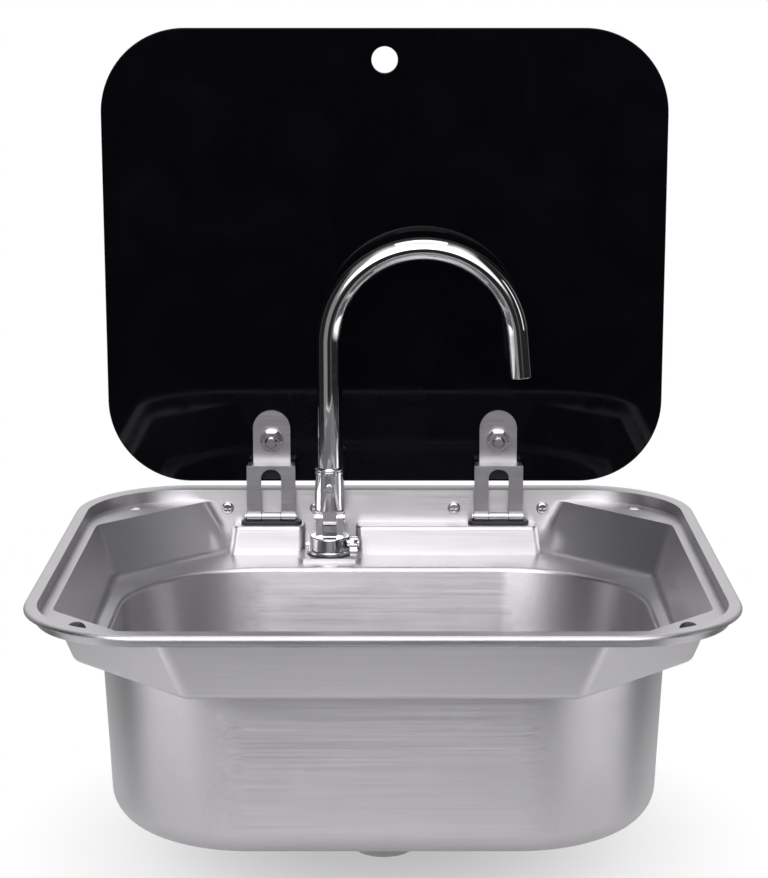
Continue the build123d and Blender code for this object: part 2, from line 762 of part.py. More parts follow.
def make_turret():
    """The swivelling body: a round foot with a spigot, a fork and the valve's socket."""
    foot = drum(turret_radius, turret_height, tap_x, tap_y, turret_z)
    foot = fillet(foot.faces().sort_by(Axis.Z)[-1].edges(), turret_edge_round)
    spigot = drum(shank_bore_radius, spigot_length, tap_x, tap_y, turret_z - spigot_length)
    spigot -= ring_seat(ring_section + ring_groove_gap)
    cheeks = block(tap_x - fork_half, tap_x + fork_half, tap_y - cheek_radius,
                   tap_y + cheek_radius, turret_top - turret_edge_round, fold_z)
    cheeks += rod_x(cheek_radius, 2 * fork_half, tap_x - fork_half, tap_y, fold_z)
    cheeks -= block(tap_x - fork_gap / 2, tap_x + fork_gap / 2, tap_y - overshoot,
                    tap_y + overshoot, turret_top + fork_floor, fold_z + overshoot)
    turret = foot + spigot + cheeks
    turret -= rod_x(fold_pin_radius + seat_clearance, 2 * overshoot, tap_x - overshoot, tap_y, fold_z)
    turret -= rod_x(spindle_radius + pin_clearance, overshoot,
                    tap_x + turret_radius - spindle_length, lever_y, lever_z)
    return turret


def ring_seat(width):
    """The groove round the spigot for its sealing ring."""
    low = turret_z - ring_drop - width / 2
    groove = drum(shank_bore_radius + 1, width, tap_x, tap_y, low)
    core = shank_bore_radius - ring_section - seat_clearance
    return groove - drum(core, width, tap_x, tap_y, low)


def make_turret_ring():
    """The round rubber ring in the spigot's groove."""
    middle = shank_bore_radius - ring_section / 2
    return Pos(tap_x, tap_y, turret_z - ring_drop) * Torus(middle, ring_section / 2)


def make_fold_pin():
    pin = rod_x(fold_pin_radius, 2 * fork_half, tap_x - fork_half, tap_y, fold_z)
    for low in (-fork_half - fold_pin_head_length, fork_half):
        pin += rod_x(fold_pin_head_radius, fold_pin_head_length, tap_x + low, tap_y, fold_z)
    return pin


def make_sleeve():
    """The knuckle and slightly conical sleeve that hold the spout."""
    body = Pos(tap_x, tap_y, sleeve_bottom) * Cone(
        sleeve_foot_radius, sleeve_head_radius, sleeve_height,
        align=(Align.CENTER, Align.CENTER, Align.MIN))
    half = tongue_width / 2
    tongue = block(tap_x - half, tap_x + half, tap_y - cheek_radius, tap_y + cheek_radius,
                   fold_z, sleeve_bottom + 1)
    tongue += rod_x(cheek_radius, tongue_width, tap_x - half, tap_y, fold_z)
    sleeve = body + tongue
    sleeve -= rod_x(fold_pin_radius + pin_clearance, 2 * overshoot, tap_x - overshoot, tap_y, fold_z)
    sleeve -= drum(pipe_radius + seat_clearance, 2 * overshoot, tap_x, tap_y, pipe_foot)
    front = tap_y - sleeve_foot_radius
    return sleeve - rod_y(set_screw_shank_radius + set_screw_hole_gap, overshoot / 4, tap_x,
                          front - 1, set_screw_z)


def make_collar():
    """The grooved ring on top of the sleeve."""
    ring = drum(collar_radius, collar_height, tap_x, tap_y, sleeve_top)
    ring = fillet(ring.faces().sort_by(Axis.Z)[-1].edges(), collar_edge_round)
    groove = drum(collar_radius + 1, collar_groove_width, tap_x, tap_y,
                  sleeve_top + collar_groove_rise)
    groove -= drum(collar_radius - collar_groove, overshoot, tap_x, tap_y, sleeve_top - 1)
    return ring - groove - drum(pipe_radius + seat_clearance, overshoot, tap_x, tap_y, sleeve_top - 1)


def make_set_screw():
    """The round screw in the front of the sleeve."""
    lean = set_screw_rise / sleeve_height
    skin = tap_y - sleeve_foot_radius + lean * (sleeve_foot_radius - sleeve_head_radius)
    skin -= set_screw_gap
    head = rod_y(set_screw_radius, set_screw_stand, tap_x, skin - set_screw_stand, set_screw_z)
    head = fillet(head.faces().sort_by(Axis.Y)[0].edges(), set_screw_stand - head_land)
    shank = rod_y(set_screw_shank_radius, set_screw_reach, tap_x, skin, set_screw_z)
    return head + shank


def spout_path():
    """The centre line of the spout: up, over and slightly outwards at its end."""
    turn = math.radians(180 - arch_sweep)
    centre_x = tap_x + arch_radius
    start = (tap_x, tap_y, pipe_foot)
    spring = (tap_x, tap_y, arch_centre_z)
    crown = (centre_x, tap_y, arch_centre_z + arch_radius)
    end_x = centre_x + arch_radius * math.cos(turn)
    end_z = arch_centre_z + arch_radius * math.sin(turn)
    tip = (end_x + arch_tail * math.sin(turn), tap_y, end_z - arch_tail * math.cos(turn))
    arc = ThreePointArc(spring, crown, (end_x, tap_y, end_z))
    return Wire([Line(start, spring).edge(), arc.edge(), Line((end_x, tap_y, end_z), tip).edge()])


def make_spout():
    path = spout_path()
    ring = Circle(pipe_radius) - Circle(pipe_radius - pipe_wall)
    return sweep(Plane((tap_x, tap_y, pipe_foot), z_dir=(0, 0, 1)) * ring, path=path)


def make_outlet_insert():
    """The flow straightener pressed into the end of the spout."""
    path = spout_path()
    tip = path.position_at(1)
    inwards = path.tangent_at(1) * -1
    radius = pipe_radius - pipe_wall - seat_clearance
    insert = extrude(Circle(radius), insert_length)
    insert -= Pos(0, 0, insert_plate) * extrude(Circle(radius - insert_wall), insert_length)
    for place in PolarLocations(insert_hole_ring, insert_holes):
        insert -= place * Pos(0, 0, -1) * extrude(Circle(insert_hole_radius), insert_plate + 2)
    return Plane(tip, z_dir=inwards) * insert


def make_lever():
    """The quarter-turn handle of the valve, with its spindle."""
    reach = spindle_length - spindle_end_gap + lever_hub_gap
    spindle = rod_x(spindle_radius, reach, lever_x - reach, lever_y, lever_z)
    hub = rod_x(lever_hub_radius, lever_thickness, lever_x, lever_y, lever_z)
    half = lever_width / 2
    tip_y = lever_y - lever_length + half
    blade = block(lever_x, lever_x + lever_thickness, tip_y, lever_y, lever_z - half,
                  lever_z + half)
    blade += rod_x(half, lever_thickness, lever_x, tip_y, lever_z)
    waist = block(lever_x + lever_thickness / 2, lever_x + lever_thickness + 1,
                  tip_y + half, lever_y - lever_hub_radius - lever_waist_gap,
                  lever_z - half - 1, lever_z + half + 1)
    return hub + blade + spindle - fillet(waist.edges().filter_by(Axis.Z), lever_waist_round)


def make_lever_screw():
    face = lever_x + lever_thickness
    screw = rod_x(lever_screw_radius, lever_screw_height, face, lever_y, lever_z)
    screw = fillet(screw.faces().sort_by(Axis.X)[-1].edges(), lever_screw_round)
    slot = block(face + lever_screw_height - lever_slot_depth, face + lever_screw_height + 1,
                 lever_y - lever_slot_reach, lever_y + lever_slot_reach,
                 lever_z - lever_slot_width / 2, lever_z + lever_slot_width / 2)
    return screw - slot


def make_waste_dish():
    """The stainless dish in the bowl's hole, with a ring of slots in its floor."""
    flange = drum(waste_flange_radius, waste_flange_height, 0, bowl_centre_y, bowl_z)
    flange = fillet(flange.faces().sort_by(Axis.Z)[-1].edges(), waste_flange_height - head_land / 2)
    well = drum(dish_radius, dish_depth + sheet, 0, bowl_centre_y, dish_z - sheet)
    hollow = drum(dish_radius - sheet, overshoot, 0, bowl_centre_y, dish_z)
    hollow = fillet(hollow.faces().sort_by(Axis.Z)[0].edges(), dish_floor_round)
    dish = fillet((flange + well).faces().sort_by(Axis.Z)[0].edges(), dish_floor_round + sheet)
    dish -= hollow
    dish -= drum(waste_screw_radius + seat_clearance, overshoot, 0, bowl_centre_y,
                 dish_z - 2 * sheet)
    slot = SlotOverall(grid_slot_outer - grid_slot_inner, grid_slot_width)
    cutter = Pos((grid_slot_inner + grid_slot_outer) / 2, 0, dish_z - 2 * sheet) * extrude(
        slot, 4 * sheet)
    for step in range(grid_slots):
        dish -= Pos(0, bowl_centre_y, 0) * Rot(0, 0, 360 / grid_slots * step) * cutter
    return dish


def make_waste_gasket():
    gasket = drum(waste_flange_radius, gasket_height, 0, bowl_centre_y, gasket_z)
    return gasket - drum(waste_hole_radius - dish_clearance / 2, overshoot, 0, bowl_centre_y,
                         gasket_z - 1)


def cup_profile():
    """Half section of the waste cup: flange, funnel and tail, as a closed outline."""
    shoulder = gasket_z - cup_flange_height
    neck = cup_neck_z
    end = neck - tail_length
    funnel = neck + cup_neck_height
    cup = waste_hole_radius + cup_wall
    inner = tail_radius - cup_wall
    points = [(waste_flange_radius, gasket_z), (waste_flange_radius, shoulder), (cup, shoulder),
              (cup, funnel), (tail_radius, neck), (tail_radius, end), (inner, end),
              (inner, neck + cup_wall / 2), (cup - cup_wall, funnel + cup_wall / 2),
              (cup - cup_wall, gasket_z)]
    return Plane.XZ * make_face(Polyline(*points, close=True))


def make_waste_cup():
    """The plastic cup and tail under the bowl, with a webbed boss for the screw."""
    cup = revolve(cup_profile(), Axis.Z)
    boss_top = dish_z - sheet
    boss_low = boss_top - cup_boss_length
    reach = tail_radius
    half = cup_web_width / 2
    web = block(-reach, reach, -half, half, boss_low - cup_web_drop, boss_low + cup_web_rise)
    inside = drum(tail_radius - cup_wall / 2, overshoot, 0, 0, boss_low - 2 * cup_web_drop)
    webs = (web + Rot(0, 0, 90) * web) & inside
    boss = drum(cup_boss_radius, cup_boss_length, 0, 0, boss_low)
    core = drum(waste_screw_radius + seat_clearance, cup_boss_length + 1, 0, 0, boss_low + 1)
    return Pos(0, bowl_centre_y, 0) * (cup + webs + boss - core)


def make_waste_screw():
    length = sheet + cup_boss_length - waste_screw_end_gap
    screw = drum(waste_screw_radius, length, 0, bowl_centre_y, dish_z - length)
    top = dish_z + waste_screw_head_height
    head = drum(waste_screw_head_radius, waste_screw_head_height, 0, bowl_centre_y, dish_z)
    head = fillet(head.faces().sort_by(Axis.Z)[-1].edges(), waste_screw_head_height / 2)
    slot = block(-waste_screw_head_radius, waste_screw_head_radius,
                 bowl_centre_y - waste_slot_width / 2, bowl_centre_y + waste_slot_width / 2,
                 top - waste_slot_depth, top + 1)
    return screw + head - slot


def make_plug():
    """The tapered rubber stopper of the waste."""
    body = Pos(0, bowl_centre_y, plug_z) * Cone(plug_radius - plug_taper, plug_radius, plug_height,
                                                align=(Align.CENTER, Align.CENTER, Align.MIN))
    plug = fillet(body.faces().sort_by(Axis.Z)[-1].edges(), plug_edge_round)
    return plug - drum(plug_stem_radius + seat_clearance, plug_stem_length + 1, 0, bowl_centre_y,
                       plug_z + plug_height - plug_stem_length)


def make_plug_knob():
    """The turned metal knob by which the stopper is lifted."""
    low = plug_z + plug_height
    top = low + plug_knob_height
    neck = plug_stem_radius + plug_neck_margin
    foot = plug_stem_radius + plug_foot_margin
    shoulder = top - plug_knob_rim - plug_knob_chamfer
    points = [(0, low - plug_stem_length), (plug_stem_radius, low - plug_stem_length),
              (plug_stem_radius, low), (foot, low), (neck, low + plug_waist_rise),
              (plug_knob_radius, shoulder), (plug_knob_radius, shoulder + plug_knob_rim),
              (plug_knob_radius - plug_knob_chamfer, top), (0, top)]
    knob = revolve(Plane.XZ * make_face(Polyline(*points, close=True)), Axis.Z)
    return Pos(0, bowl_centre_y, 0) * knob


def all_parts():
    """Every piece of the sink by name."""
    parts = {
        "basin": make_basin(),
        "rim_seal": make_rim_seal(),
        "bracket_screws": make_bracket_screws(),
        "bracket_nuts": make_bracket_nuts(),
        "glass_lid": make_glass(),
        "tap_base": make_tap_base(),
        "tap_base_seal": make_base_seal(),
        "tap_lock_washer": make_lock_washer(),
        "tap_locknut": make_locknut(),
        "tap_turret": make_turret(),
        "tap_turret_ring": make_turret_ring(),
        "tap_fold_pin": make_fold_pin(),
        "tap_sleeve": make_sleeve(),
        "tap_collar": make_collar(),
        "tap_set_screw": make_set_screw(),
        "tap_spout": make_spout(),
        "spout_insert": make_outlet_insert(),
        "valve_lever": make_lever(),
        "lever_screw": make_lever_screw(),
        "waste_dish": make_waste_dish(),
        "waste_gasket": make_waste_gasket(),
        "waste_cup": make_waste_cup(),
        "waste_screw": make_waste_screw(),
        "plug_stopper": make_plug(),
        "plug_knob": make_plug_knob(),
    }
    for name, x in (("left", -hinge_x), ("right", hinge_x)):
        parts["grommet_" + name] = make_grommet(x)
        parts["hinge_bracket_" + name] = make_bracket(x)
        parts["hinge_pin_" + name] = make_hinge_pin(x)
        parts["hinge_arm_" + name] = make_hinge_arm(x)
        parts["glass_pad_" + name] = make_glass_pad(x)
        parts["bolt_bush_" + name] = make_bush(x)
        parts["lid_bolt_" + name] = make_lid_bolt(x)
        parts["lid_washer_" + name] = make_lid_washer(x)
        parts["lid_nut_" + name] = make_lid_nut(x)
    for name, x in (("left", -fixing_hole_x), ("right", fixing_hole_x)):
        parts["bumper_" + name] = make_bumper(x)
    return parts


def main():
    os.makedirs("parts", exist_ok=True)
    for name, shape in all_parts().items():
        export_step(shape, "parts/" + name + ".step")


main()
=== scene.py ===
"""Looks of the caravan sink: finishes, seals, threads and studio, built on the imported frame."""
import json
import math

import bmesh
import bpy
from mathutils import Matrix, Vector

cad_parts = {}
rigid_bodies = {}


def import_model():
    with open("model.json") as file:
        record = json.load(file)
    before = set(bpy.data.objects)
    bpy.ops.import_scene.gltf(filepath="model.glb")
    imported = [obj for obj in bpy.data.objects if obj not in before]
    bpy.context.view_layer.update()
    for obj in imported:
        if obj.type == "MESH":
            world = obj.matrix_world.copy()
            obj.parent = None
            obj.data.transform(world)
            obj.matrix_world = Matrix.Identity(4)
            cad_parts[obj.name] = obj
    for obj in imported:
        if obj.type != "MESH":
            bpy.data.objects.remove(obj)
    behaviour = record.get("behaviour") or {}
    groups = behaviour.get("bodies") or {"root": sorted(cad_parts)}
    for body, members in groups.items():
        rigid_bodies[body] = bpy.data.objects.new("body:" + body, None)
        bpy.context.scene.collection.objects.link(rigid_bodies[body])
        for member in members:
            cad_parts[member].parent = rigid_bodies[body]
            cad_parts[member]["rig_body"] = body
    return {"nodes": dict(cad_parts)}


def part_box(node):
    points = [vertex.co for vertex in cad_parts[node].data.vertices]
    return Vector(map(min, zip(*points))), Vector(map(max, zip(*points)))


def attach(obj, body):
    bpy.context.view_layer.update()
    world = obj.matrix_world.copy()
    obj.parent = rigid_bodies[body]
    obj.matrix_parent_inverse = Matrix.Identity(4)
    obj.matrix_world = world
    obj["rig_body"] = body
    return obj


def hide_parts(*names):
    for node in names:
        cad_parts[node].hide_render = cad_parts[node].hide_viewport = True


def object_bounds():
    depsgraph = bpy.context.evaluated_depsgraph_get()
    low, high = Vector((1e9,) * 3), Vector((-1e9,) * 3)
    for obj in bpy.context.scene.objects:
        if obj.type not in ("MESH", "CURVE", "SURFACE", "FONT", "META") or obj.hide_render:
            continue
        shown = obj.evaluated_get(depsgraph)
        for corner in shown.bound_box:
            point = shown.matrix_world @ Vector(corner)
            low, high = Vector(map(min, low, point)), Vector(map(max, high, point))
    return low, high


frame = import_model()
NODES = frame["nodes"]
FRAME_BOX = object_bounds()

bl_info = {
    "name": "Caravan Sink Looks",
    "version": (1, 0, 0),
    "blender": (4, 5, 0),
    "location": "3D View > Sidebar > Sink",
    "description": "Dresses the caravan sink with its finishes and small parts",
    "category": "Object",
}

MM = 0.001
SIDES = ("left", "right")

# radii of the holes in the glass, and how far the finger hole's middle lies below the upper
# edge of the open lid
FINGER_HOLE = 9.0 * MM
FINGER_HOLE_DROP = 21.4 * MM
BOLT_HOLE = 6.1 * MM

# how finely the round forms are divided
CORNER_SEGMENTS = 24
HOLE_SIDES = 64
PIPE_SIDES = 56
BEND_STEPS = 60
THREAD_STEPS = 40

# threads: their pitches, their depth as a share of the pitch, and the crest's width as a
# share of the root's
SHANK_PITCH = 1.5 * MM
INLET_PITCH = 1.34 * MM
THREAD_DEPTH = 0.5
THREAD_CREST = 0.2

# the plain length between the two threads, how far past a thread its core is thinned, how far
# from the plain surface a corner may lie to be thinned, and how far under the deck brass begins
INLET_NECK = 2 * MM
CORE_REACH = 0.1 * MM
CORE_NEAR = 0.45 * MM
BRASS_DROP = 0.05 * MM

# distances within which corners are merged, on CAD copies and on new pieces
COPY_MERGE = 0.002 * MM
NEW_MERGE = 0.01 * MM

# faces that meet at less than so many degrees are shaded as one
SMOOTH_ANGLE = 30.0
BASIN_ANGLE = 35.0
PIPE_ANGLE = 40.0

# faces of a CAD copy that meet at less than so many degrees are made one
FLAT_ANGLE = 0.5

# width of the bevel that breaks the sharp edges of each CAD node, or pair of nodes, in mm
EDGE_WIDTHS = {
    "waste_dish": 0.15, "hinge_arm": 0.35, "hinge_bracket": 0.35, "hinge_pin": 0.2,
    "lid_bolt": 0.15, "lid_washer": 0.3, "lid_nut": 0.3, "bracket_screws": 0.12,
    "bracket_nuts": 0.12, "tap_turret": 0.25, "tap_fold_pin": 0.25, "tap_sleeve": 0.25,
    "tap_collar": 0.25, "tap_set_screw": 0.25, "spout_insert": 0.25, "valve_lever": 0.25,
    "lever_screw": 0.25, "tap_base": 0.2, "tap_locknut": 0.6, "tap_lock_washer": 0.3,
    "bumper": 0.3, "grommet": 0.3, "glass_pad": 0.25, "tap_base_seal": 0.25,
    "tap_turret_ring": 0.3, "waste_gasket": 0.6, "plug_stopper": 0.3, "rim_seal": 0.55,
    "waste_cup": 0.5, "waste_screw": 0.2, "plug_knob": 0.25,
}
PIPE_EDGE = 0.35 * MM

# colours of the finishes that have no setting of their own
PLATED = (0.62, 0.61, 0.62)
BRASS = (0.60, 0.47, 0.24)
WASHER_STEEL = (0.6, 0.6, 0.6)
BRIGHT_STEEL = (0.72, 0.71, 0.72)
RUBBER = (0.018, 0.018, 0.019)
FOAM = (0.06, 0.06, 0.062)
NYLON = (0.75, 0.75, 0.71)
PLASTIC = (0.62, 0.62, 0.61)

# noise scales per metre of the brushed grain, along it and across it, and its depth
GRAIN_ALONG = 9
GRAIN_ACROSS = 1500
GRAIN_DEPTH = 0.002 * MM

# how far a face turns sideways, from where its grain begins to turn to where it has turned
GRAIN_TURN = (0.62, 0.82)

# noise scales per metre of the faint clouds on steel and on moulded pieces, and the shares of
# grain and clouds in the shade of steel
STEEL_CLOUDS = (9, 14, 22)
MOULDED_CLOUDS = (40, 40, 40)
GRAIN_SHARE = 0.6
CLOUD_SHARE = 0.4
NOISE_ROUGHNESS = 0.6

# noise scales per metre of the wipe marks on each kind of surface
STEEL_MARKS = 26.0
PLATING_MARKS = 110.0
GLASS_MARKS = 14.0
GLASS_IOR = 1.5


# ---------------------------------------------------------------- settings
class SinkSteelSettings(bpy.types.PropertyGroup):
    """Colours and roughness of the brushed steel."""
    colour: bpy.props.FloatVectorProperty(
        name="Steel Colour", description="Colour of the pressed stainless sheet",
        subtype="COLOR", size=3, default=(0.60, 0.585, 0.605), min=0.0, max=1.0)
    roughness: bpy.props.FloatProperty(
        name="Brushing Roughness", description="Roughness of the brushed sheet",
        default=0.36, min=0.0, max=1.0, subtype="FACTOR")
    hinge_colour: bpy.props.FloatVectorProperty(
        name="Hinge Colour", description="Colour of the pressed hinge arms and brackets",
        subtype="COLOR", size=3, default=(0.47, 0.46, 0.48), min=0.0, max=1.0)


class SinkGlassSettings(bpy.types.PropertyGroup):
    """Sizes and colours of the glass lid."""
    colour: bpy.props.FloatVectorProperty(
        name="Glass Colour", description="Colour of the black glass",
        subtype="COLOR", size=3, default=(0.002, 0.002, 0.003), min=0.0, max=1.0)
    edge_bevel: bpy.props.FloatProperty(
        name="Edge Bevel", description="Width of the polished bevel round the glass",
        default=1.2 * MM, min=0.2 * MM, max=2.0 * MM, subtype="DISTANCE", unit="LENGTH")
    corner: bpy.props.FloatProperty(
        name="Corner Radius", description="Radius of the lid's corners",
        default=58.0 * MM, min=5.0 * MM, max=90.0 * MM, subtype="DISTANCE", unit="LENGTH")


class SinkTapSettings(bpy.types.PropertyGroup):
    """Sizes and colours of the tap."""
    chrome: bpy.props.FloatVectorProperty(
        name="Chrome Colour", description="Colour of the polished plating",
        subtype="COLOR", size=3, default=(0.74, 0.74, 0.75), min=0.0, max=1.0)
    pipe_radius: bpy.props.FloatProperty(
        name="Pipe Radius", description="Outer radius of the bent pipe",
        default=8.0 * MM, min=4.0 * MM, max=14.0 * MM, subtype="DISTANCE", unit="LENGTH")
    wall: bpy.props.FloatProperty(
        name="Pipe Wall", description="Wall of the bent pipe",
        default=1.5 * MM, min=0.5 * MM, max=3.0 * MM, subtype="DISTANCE", unit="LENGTH")
    arch_radius: bpy.props.FloatProperty(
        name="Arch Radius", description="Radius of the bend, to the middle of the pipe",
        default=65.0 * MM, min=30.0 * MM, max=120.0 * MM, subtype="DISTANCE", unit="LENGTH")
    arch_sweep: bpy.props.FloatProperty(
        name="Arch Sweep", description="Angle that the pipe is bent through",
        default=math.radians(175.0), min=0.5, max=math.pi, subtype="ANGLE", unit="ROTATION")
    tail: bpy.props.FloatProperty(
        name="Tail", description="Straight length after the bend",
        default=29.5 * MM, min=5.0 * MM, max=80.0 * MM, subtype="DISTANCE", unit="LENGTH")
    shank_radius: bpy.props.FloatProperty(
        name="Shank Radius", description="Outer radius of the shank's thread",
        default=10.0 * MM, min=8.0 * MM, max=16.0 * MM, subtype="DISTANCE", unit="LENGTH")
    inlet_radius: bpy.props.FloatProperty(
        name="Inlet Radius", description="Outer radius of the inlet's thread",
        default=7.5 * MM, min=5.0 * MM, max=12.0 * MM, subtype="DISTANCE", unit="LENGTH")
    inlet_length: bpy.props.FloatProperty(
        name="Inlet Length", description="Length of the inlet under the shank",
        default=18.0 * MM, min=8.0 * MM, max=40.0 * MM, subtype="DISTANCE", unit="LENGTH")


class SinkStageSettings(bpy.types.PropertyGroup):
    """Colours and strengths of the studio."""
    floor_colour: bpy.props.FloatVectorProperty(
        name="Floor Colour", description="Colour of the studio floor",
        subtype="COLOR", size=3, default=(0.86, 0.86, 0.86), min=0.0, max=1.0)
    ambient: bpy.props.FloatProperty(
        name="Ambient", description="Strength of the even light from all round",
        default=0.85, min=0.0, max=2.0)
    room: bpy.props.FloatProperty(
        name="Room", description="How bright metal and glass see the room behind the camera",
        default=0.02, min=0.0, max=1.0)
    soft_box: bpy.props.FloatProperty(
        name="Soft Box", description="How bright metal and glass see the soft box up in front",
        default=3.1, min=0.0, max=6.0)
    low_sides: bpy.props.FloatProperty(
        name="Low Sides", description="How bright metal sees the floor at both sides",
        default=1.5, min=0.0, max=4.0)
    windows: bpy.props.FloatProperty(
        name="Windows", description="How bright metal sees the window at the left",
        default=0.27, min=0.0, max=2.0)
    shadow_start: bpy.props.FloatProperty(
        name="Shadow Start", description="Distance at which the camera sees the floor turn white",
        default=0.12, min=0.05, max=2.0, subtype="DISTANCE", unit="LENGTH")
    shadow_end: bpy.props.FloatProperty(
        name="Shadow End", description="Distance at which the floor is white to the camera",
        default=0.31, min=0.1, max=3.0, subtype="DISTANCE", unit="LENGTH")
    fade_start: bpy.props.FloatProperty(
        name="Fade Start", description="Distance at which metal sees the floor begin to end",
        default=0.3, min=0.1, max=2.0, subtype="DISTANCE", unit="LENGTH")
    fade_end: bpy.props.FloatProperty(
        name="Fade End", description="Distance at which the floor has ended to metal",
        default=0.55, min=0.2, max=3.0, subtype="DISTANCE", unit="LENGTH")
    key_power: bpy.props.FloatProperty(
        name="Key Power", description="Power of the main lamp",
        default=7.5, min=0.0, max=200.0, subtype="POWER", unit="POWER")


# ---------------------------------------------------------------- shader helpers
def link(tree, output, target):
    """Joins two sockets."""
    tree.links.new(output, target)


def feed(tree, value, target):
    """Gives a socket a number, or another node's output."""
    if isinstance(value, (int, float)):
        target.default_value = value
    else:
        link(tree, value, target)


def add_node(tree, kind, **values):
    """A node of that kind, with its inputs set by name."""
    made = tree.nodes.new(kind)
    for name, value in values.items():
        made.inputs[name].default_value = value
    return made


def maths(tree, operation, *operands):
    """A Math node; each operand is a number or another node's output."""
    made = tree.nodes.new("ShaderNodeMath")
    made.operation = operation
    for place, value in enumerate(operands):
        feed(tree, value, made.inputs[place])
    return made.outputs[0]


def span(tree, value, low, high, to_low=0.0, to_high=1.0):
    """Maps a value from one span to another, clamped."""
    made = tree.nodes.new("ShaderNodeMapRange")
    link(tree, value, made.inputs["Value"])
    made.inputs["From Min"].default_value = low
    made.inputs["From Max"].default_value = high
    made.inputs["To Min"].default_value = to_low
    made.inputs["To Max"].default_value = to_high
    return made.outputs["Result"]


def mixed_value(tree, mask, low, high):
    """A value between two, by a mask; each is a number or another node's output."""
    made = tree.nodes.new("ShaderNodeMix")
    link(tree, mask, made.inputs["Factor"])
    feed(tree, low, made.inputs["A"])
    feed(tree, high, made.inputs["B"])
    return made.outputs["Result"]


def mixed_shader(tree, mask, low, high):
    """A Mix Shader between two shader nodes."""
    made = tree.nodes.new("ShaderNodeMixShader")
    link(tree, mask, made.inputs["Fac"])
    link(tree, low.outputs[0], made.inputs[1])
    link(tree, high.outputs[0], made.inputs[2])
    return made


def new_group(name, inputs, outputs):
    """A shader node group whose inputs and outputs are all single values."""
    tree = bpy.data.node_groups.new(name, "ShaderNodeTree")
    for socket_name, default in inputs:
        socket = tree.interface.new_socket(socket_name, in_out="INPUT",
                                           socket_type="NodeSocketFloat")
        socket.default_value = default
    for socket_name in outputs:
        tree.interface.new_socket(socket_name, in_out="OUTPUT", socket_type="NodeSocketFloat")
    return tree, tree.nodes.new("NodeGroupInput"), tree.nodes.new("NodeGroupOutput")


def stretched_noise(tree, coordinate, scale, detail=4.0):
    """Noise on coordinates stretched by a scale for each axis."""
    mapping = add_node(tree, "ShaderNodeMapping", Scale=scale)
    link(tree, coordinate, mapping.inputs["Vector"])
    noise = add_node(tree, "ShaderNodeTexNoise", Scale=1.0, Detail=detail,
                     Roughness=NOISE_ROUGHNESS)
    link(tree, mapping.outputs[0], noise.inputs["Vector"])
    return noise.outputs["Fac"]


def brushing_group():
    """Fine straight grain along X, which turns along Y on walls that face sideways."""
    tree, _, outlet = new_group("Brushed Grain", [], ["Grain", "Cloud"])
    where = tree.nodes.new("ShaderNodeTexCoord")
    along_x = stretched_noise(tree, where.outputs["Object"],
                              (GRAIN_ALONG, GRAIN_ACROSS, GRAIN_ACROSS))
    along_y = stretched_noise(tree, where.outputs["Object"],
                              (GRAIN_ACROSS, GRAIN_ALONG, GRAIN_ACROSS))
    facing = tree.nodes.new("ShaderNodeSeparateXYZ")
    link(tree, where.outputs["Normal"], facing.inputs[0])
    sideways = span(tree, maths(tree, "ABSOLUTE", facing.outputs["X"]), *GRAIN_TURN)
    grain = mixed_value(tree, sideways, along_x, along_y)
    cloud = stretched_noise(tree, where.outputs["Object"], STEEL_CLOUDS, detail=3.0)
    link(tree, grain, outlet.inputs["Grain"])
    link(tree, cloud, outlet.inputs["Cloud"])
    return tree


def marks_group():
    """Faint patches left by wiping, as a mask."""
    tree, inlet, outlet = new_group("Wipe Marks", [("Size", 60.0)], ["Mask"])
    where = tree.nodes.new("ShaderNodeTexCoord")
    wide = add_node(tree, "ShaderNodeTexNoise", Detail=5.0, Distortion=1.4)
    link(tree, inlet.outputs["Size"], wide.inputs["Scale"])
    link(tree, where.outputs["Object"], wide.inputs["Vector"])
    link(tree, span(tree, wide.outputs["Fac"], 0.45, 0.75), outlet.inputs["Mask"])
    return tree


def moulding_group():
    """The fine matt grain of moulded rubber and plastic."""
    tree, inlet, outlet = new_group("Moulded Grain", [("Size", 900.0)], ["Height", "Cloud"])
    where = tree.nodes.new("ShaderNodeTexCoord")
    fine = add_node(tree, "ShaderNodeTexNoise", Detail=3.0)
    link(tree, inlet.outputs["Size"], fine.inputs["Scale"])
    link(tree, where.outputs["Object"], fine.inputs["Vector"])
    cloud = stretched_noise(tree, where.outputs["Object"], MOULDED_CLOUDS, detail=3.0)
    link(tree, fine.outputs["Fac"], outlet.inputs["Height"])
    link(tree, cloud, outlet.inputs["Cloud"])
    return tree


GROUPS = {}


def group(name):
    """The shared effect of that name, built when it is first asked for."""
    makers = {"brushing": brushing_group, "marks": marks_group, "moulding": moulding_group}
    if name not in GROUPS:
        GROUPS[name] = makers[name]()
    return GROUPS[name]


def place_group(tree, name, **values):
    """A shared effect placed in a material, with its inputs set by name."""
    made = tree.nodes.new("ShaderNodeGroup")
    made.node_tree = group(name)
    for key, value in values.items():
        made.inputs[key].default_value = value
    return made


def tint(colour, factor):
    """A colour made lighter or darker, with its alpha."""
    return (*(min(1.0, part * factor) for part in colour), 1.0)


def two_tone(tree, mask, dark, light):
    """A colour between two, by a mask."""
    made = tree.nodes.new("ShaderNodeMix")
    made.data_type = "RGBA"
    link(tree, mask, made.inputs["Factor"])
    made.inputs["A"].default_value = dark
    made.inputs["B"].default_value = light
    return made.outputs["Result"]


def bump(tree, height, depth, shader):
    """A Bump node that feeds the shader's normal; depth is in metres."""
    made = add_node(tree, "ShaderNodeBump", Distance=depth)
    link(tree, height, made.inputs["Height"])
    link(tree, made.outputs["Normal"], shader.inputs["Normal"])


def new_material(name):
    """A material with its node tree and its Principled shader."""
    material = bpy.data.materials.new(name)
    material.use_nodes = True
    return material, material.node_tree, material.node_tree.nodes["Principled BSDF"]


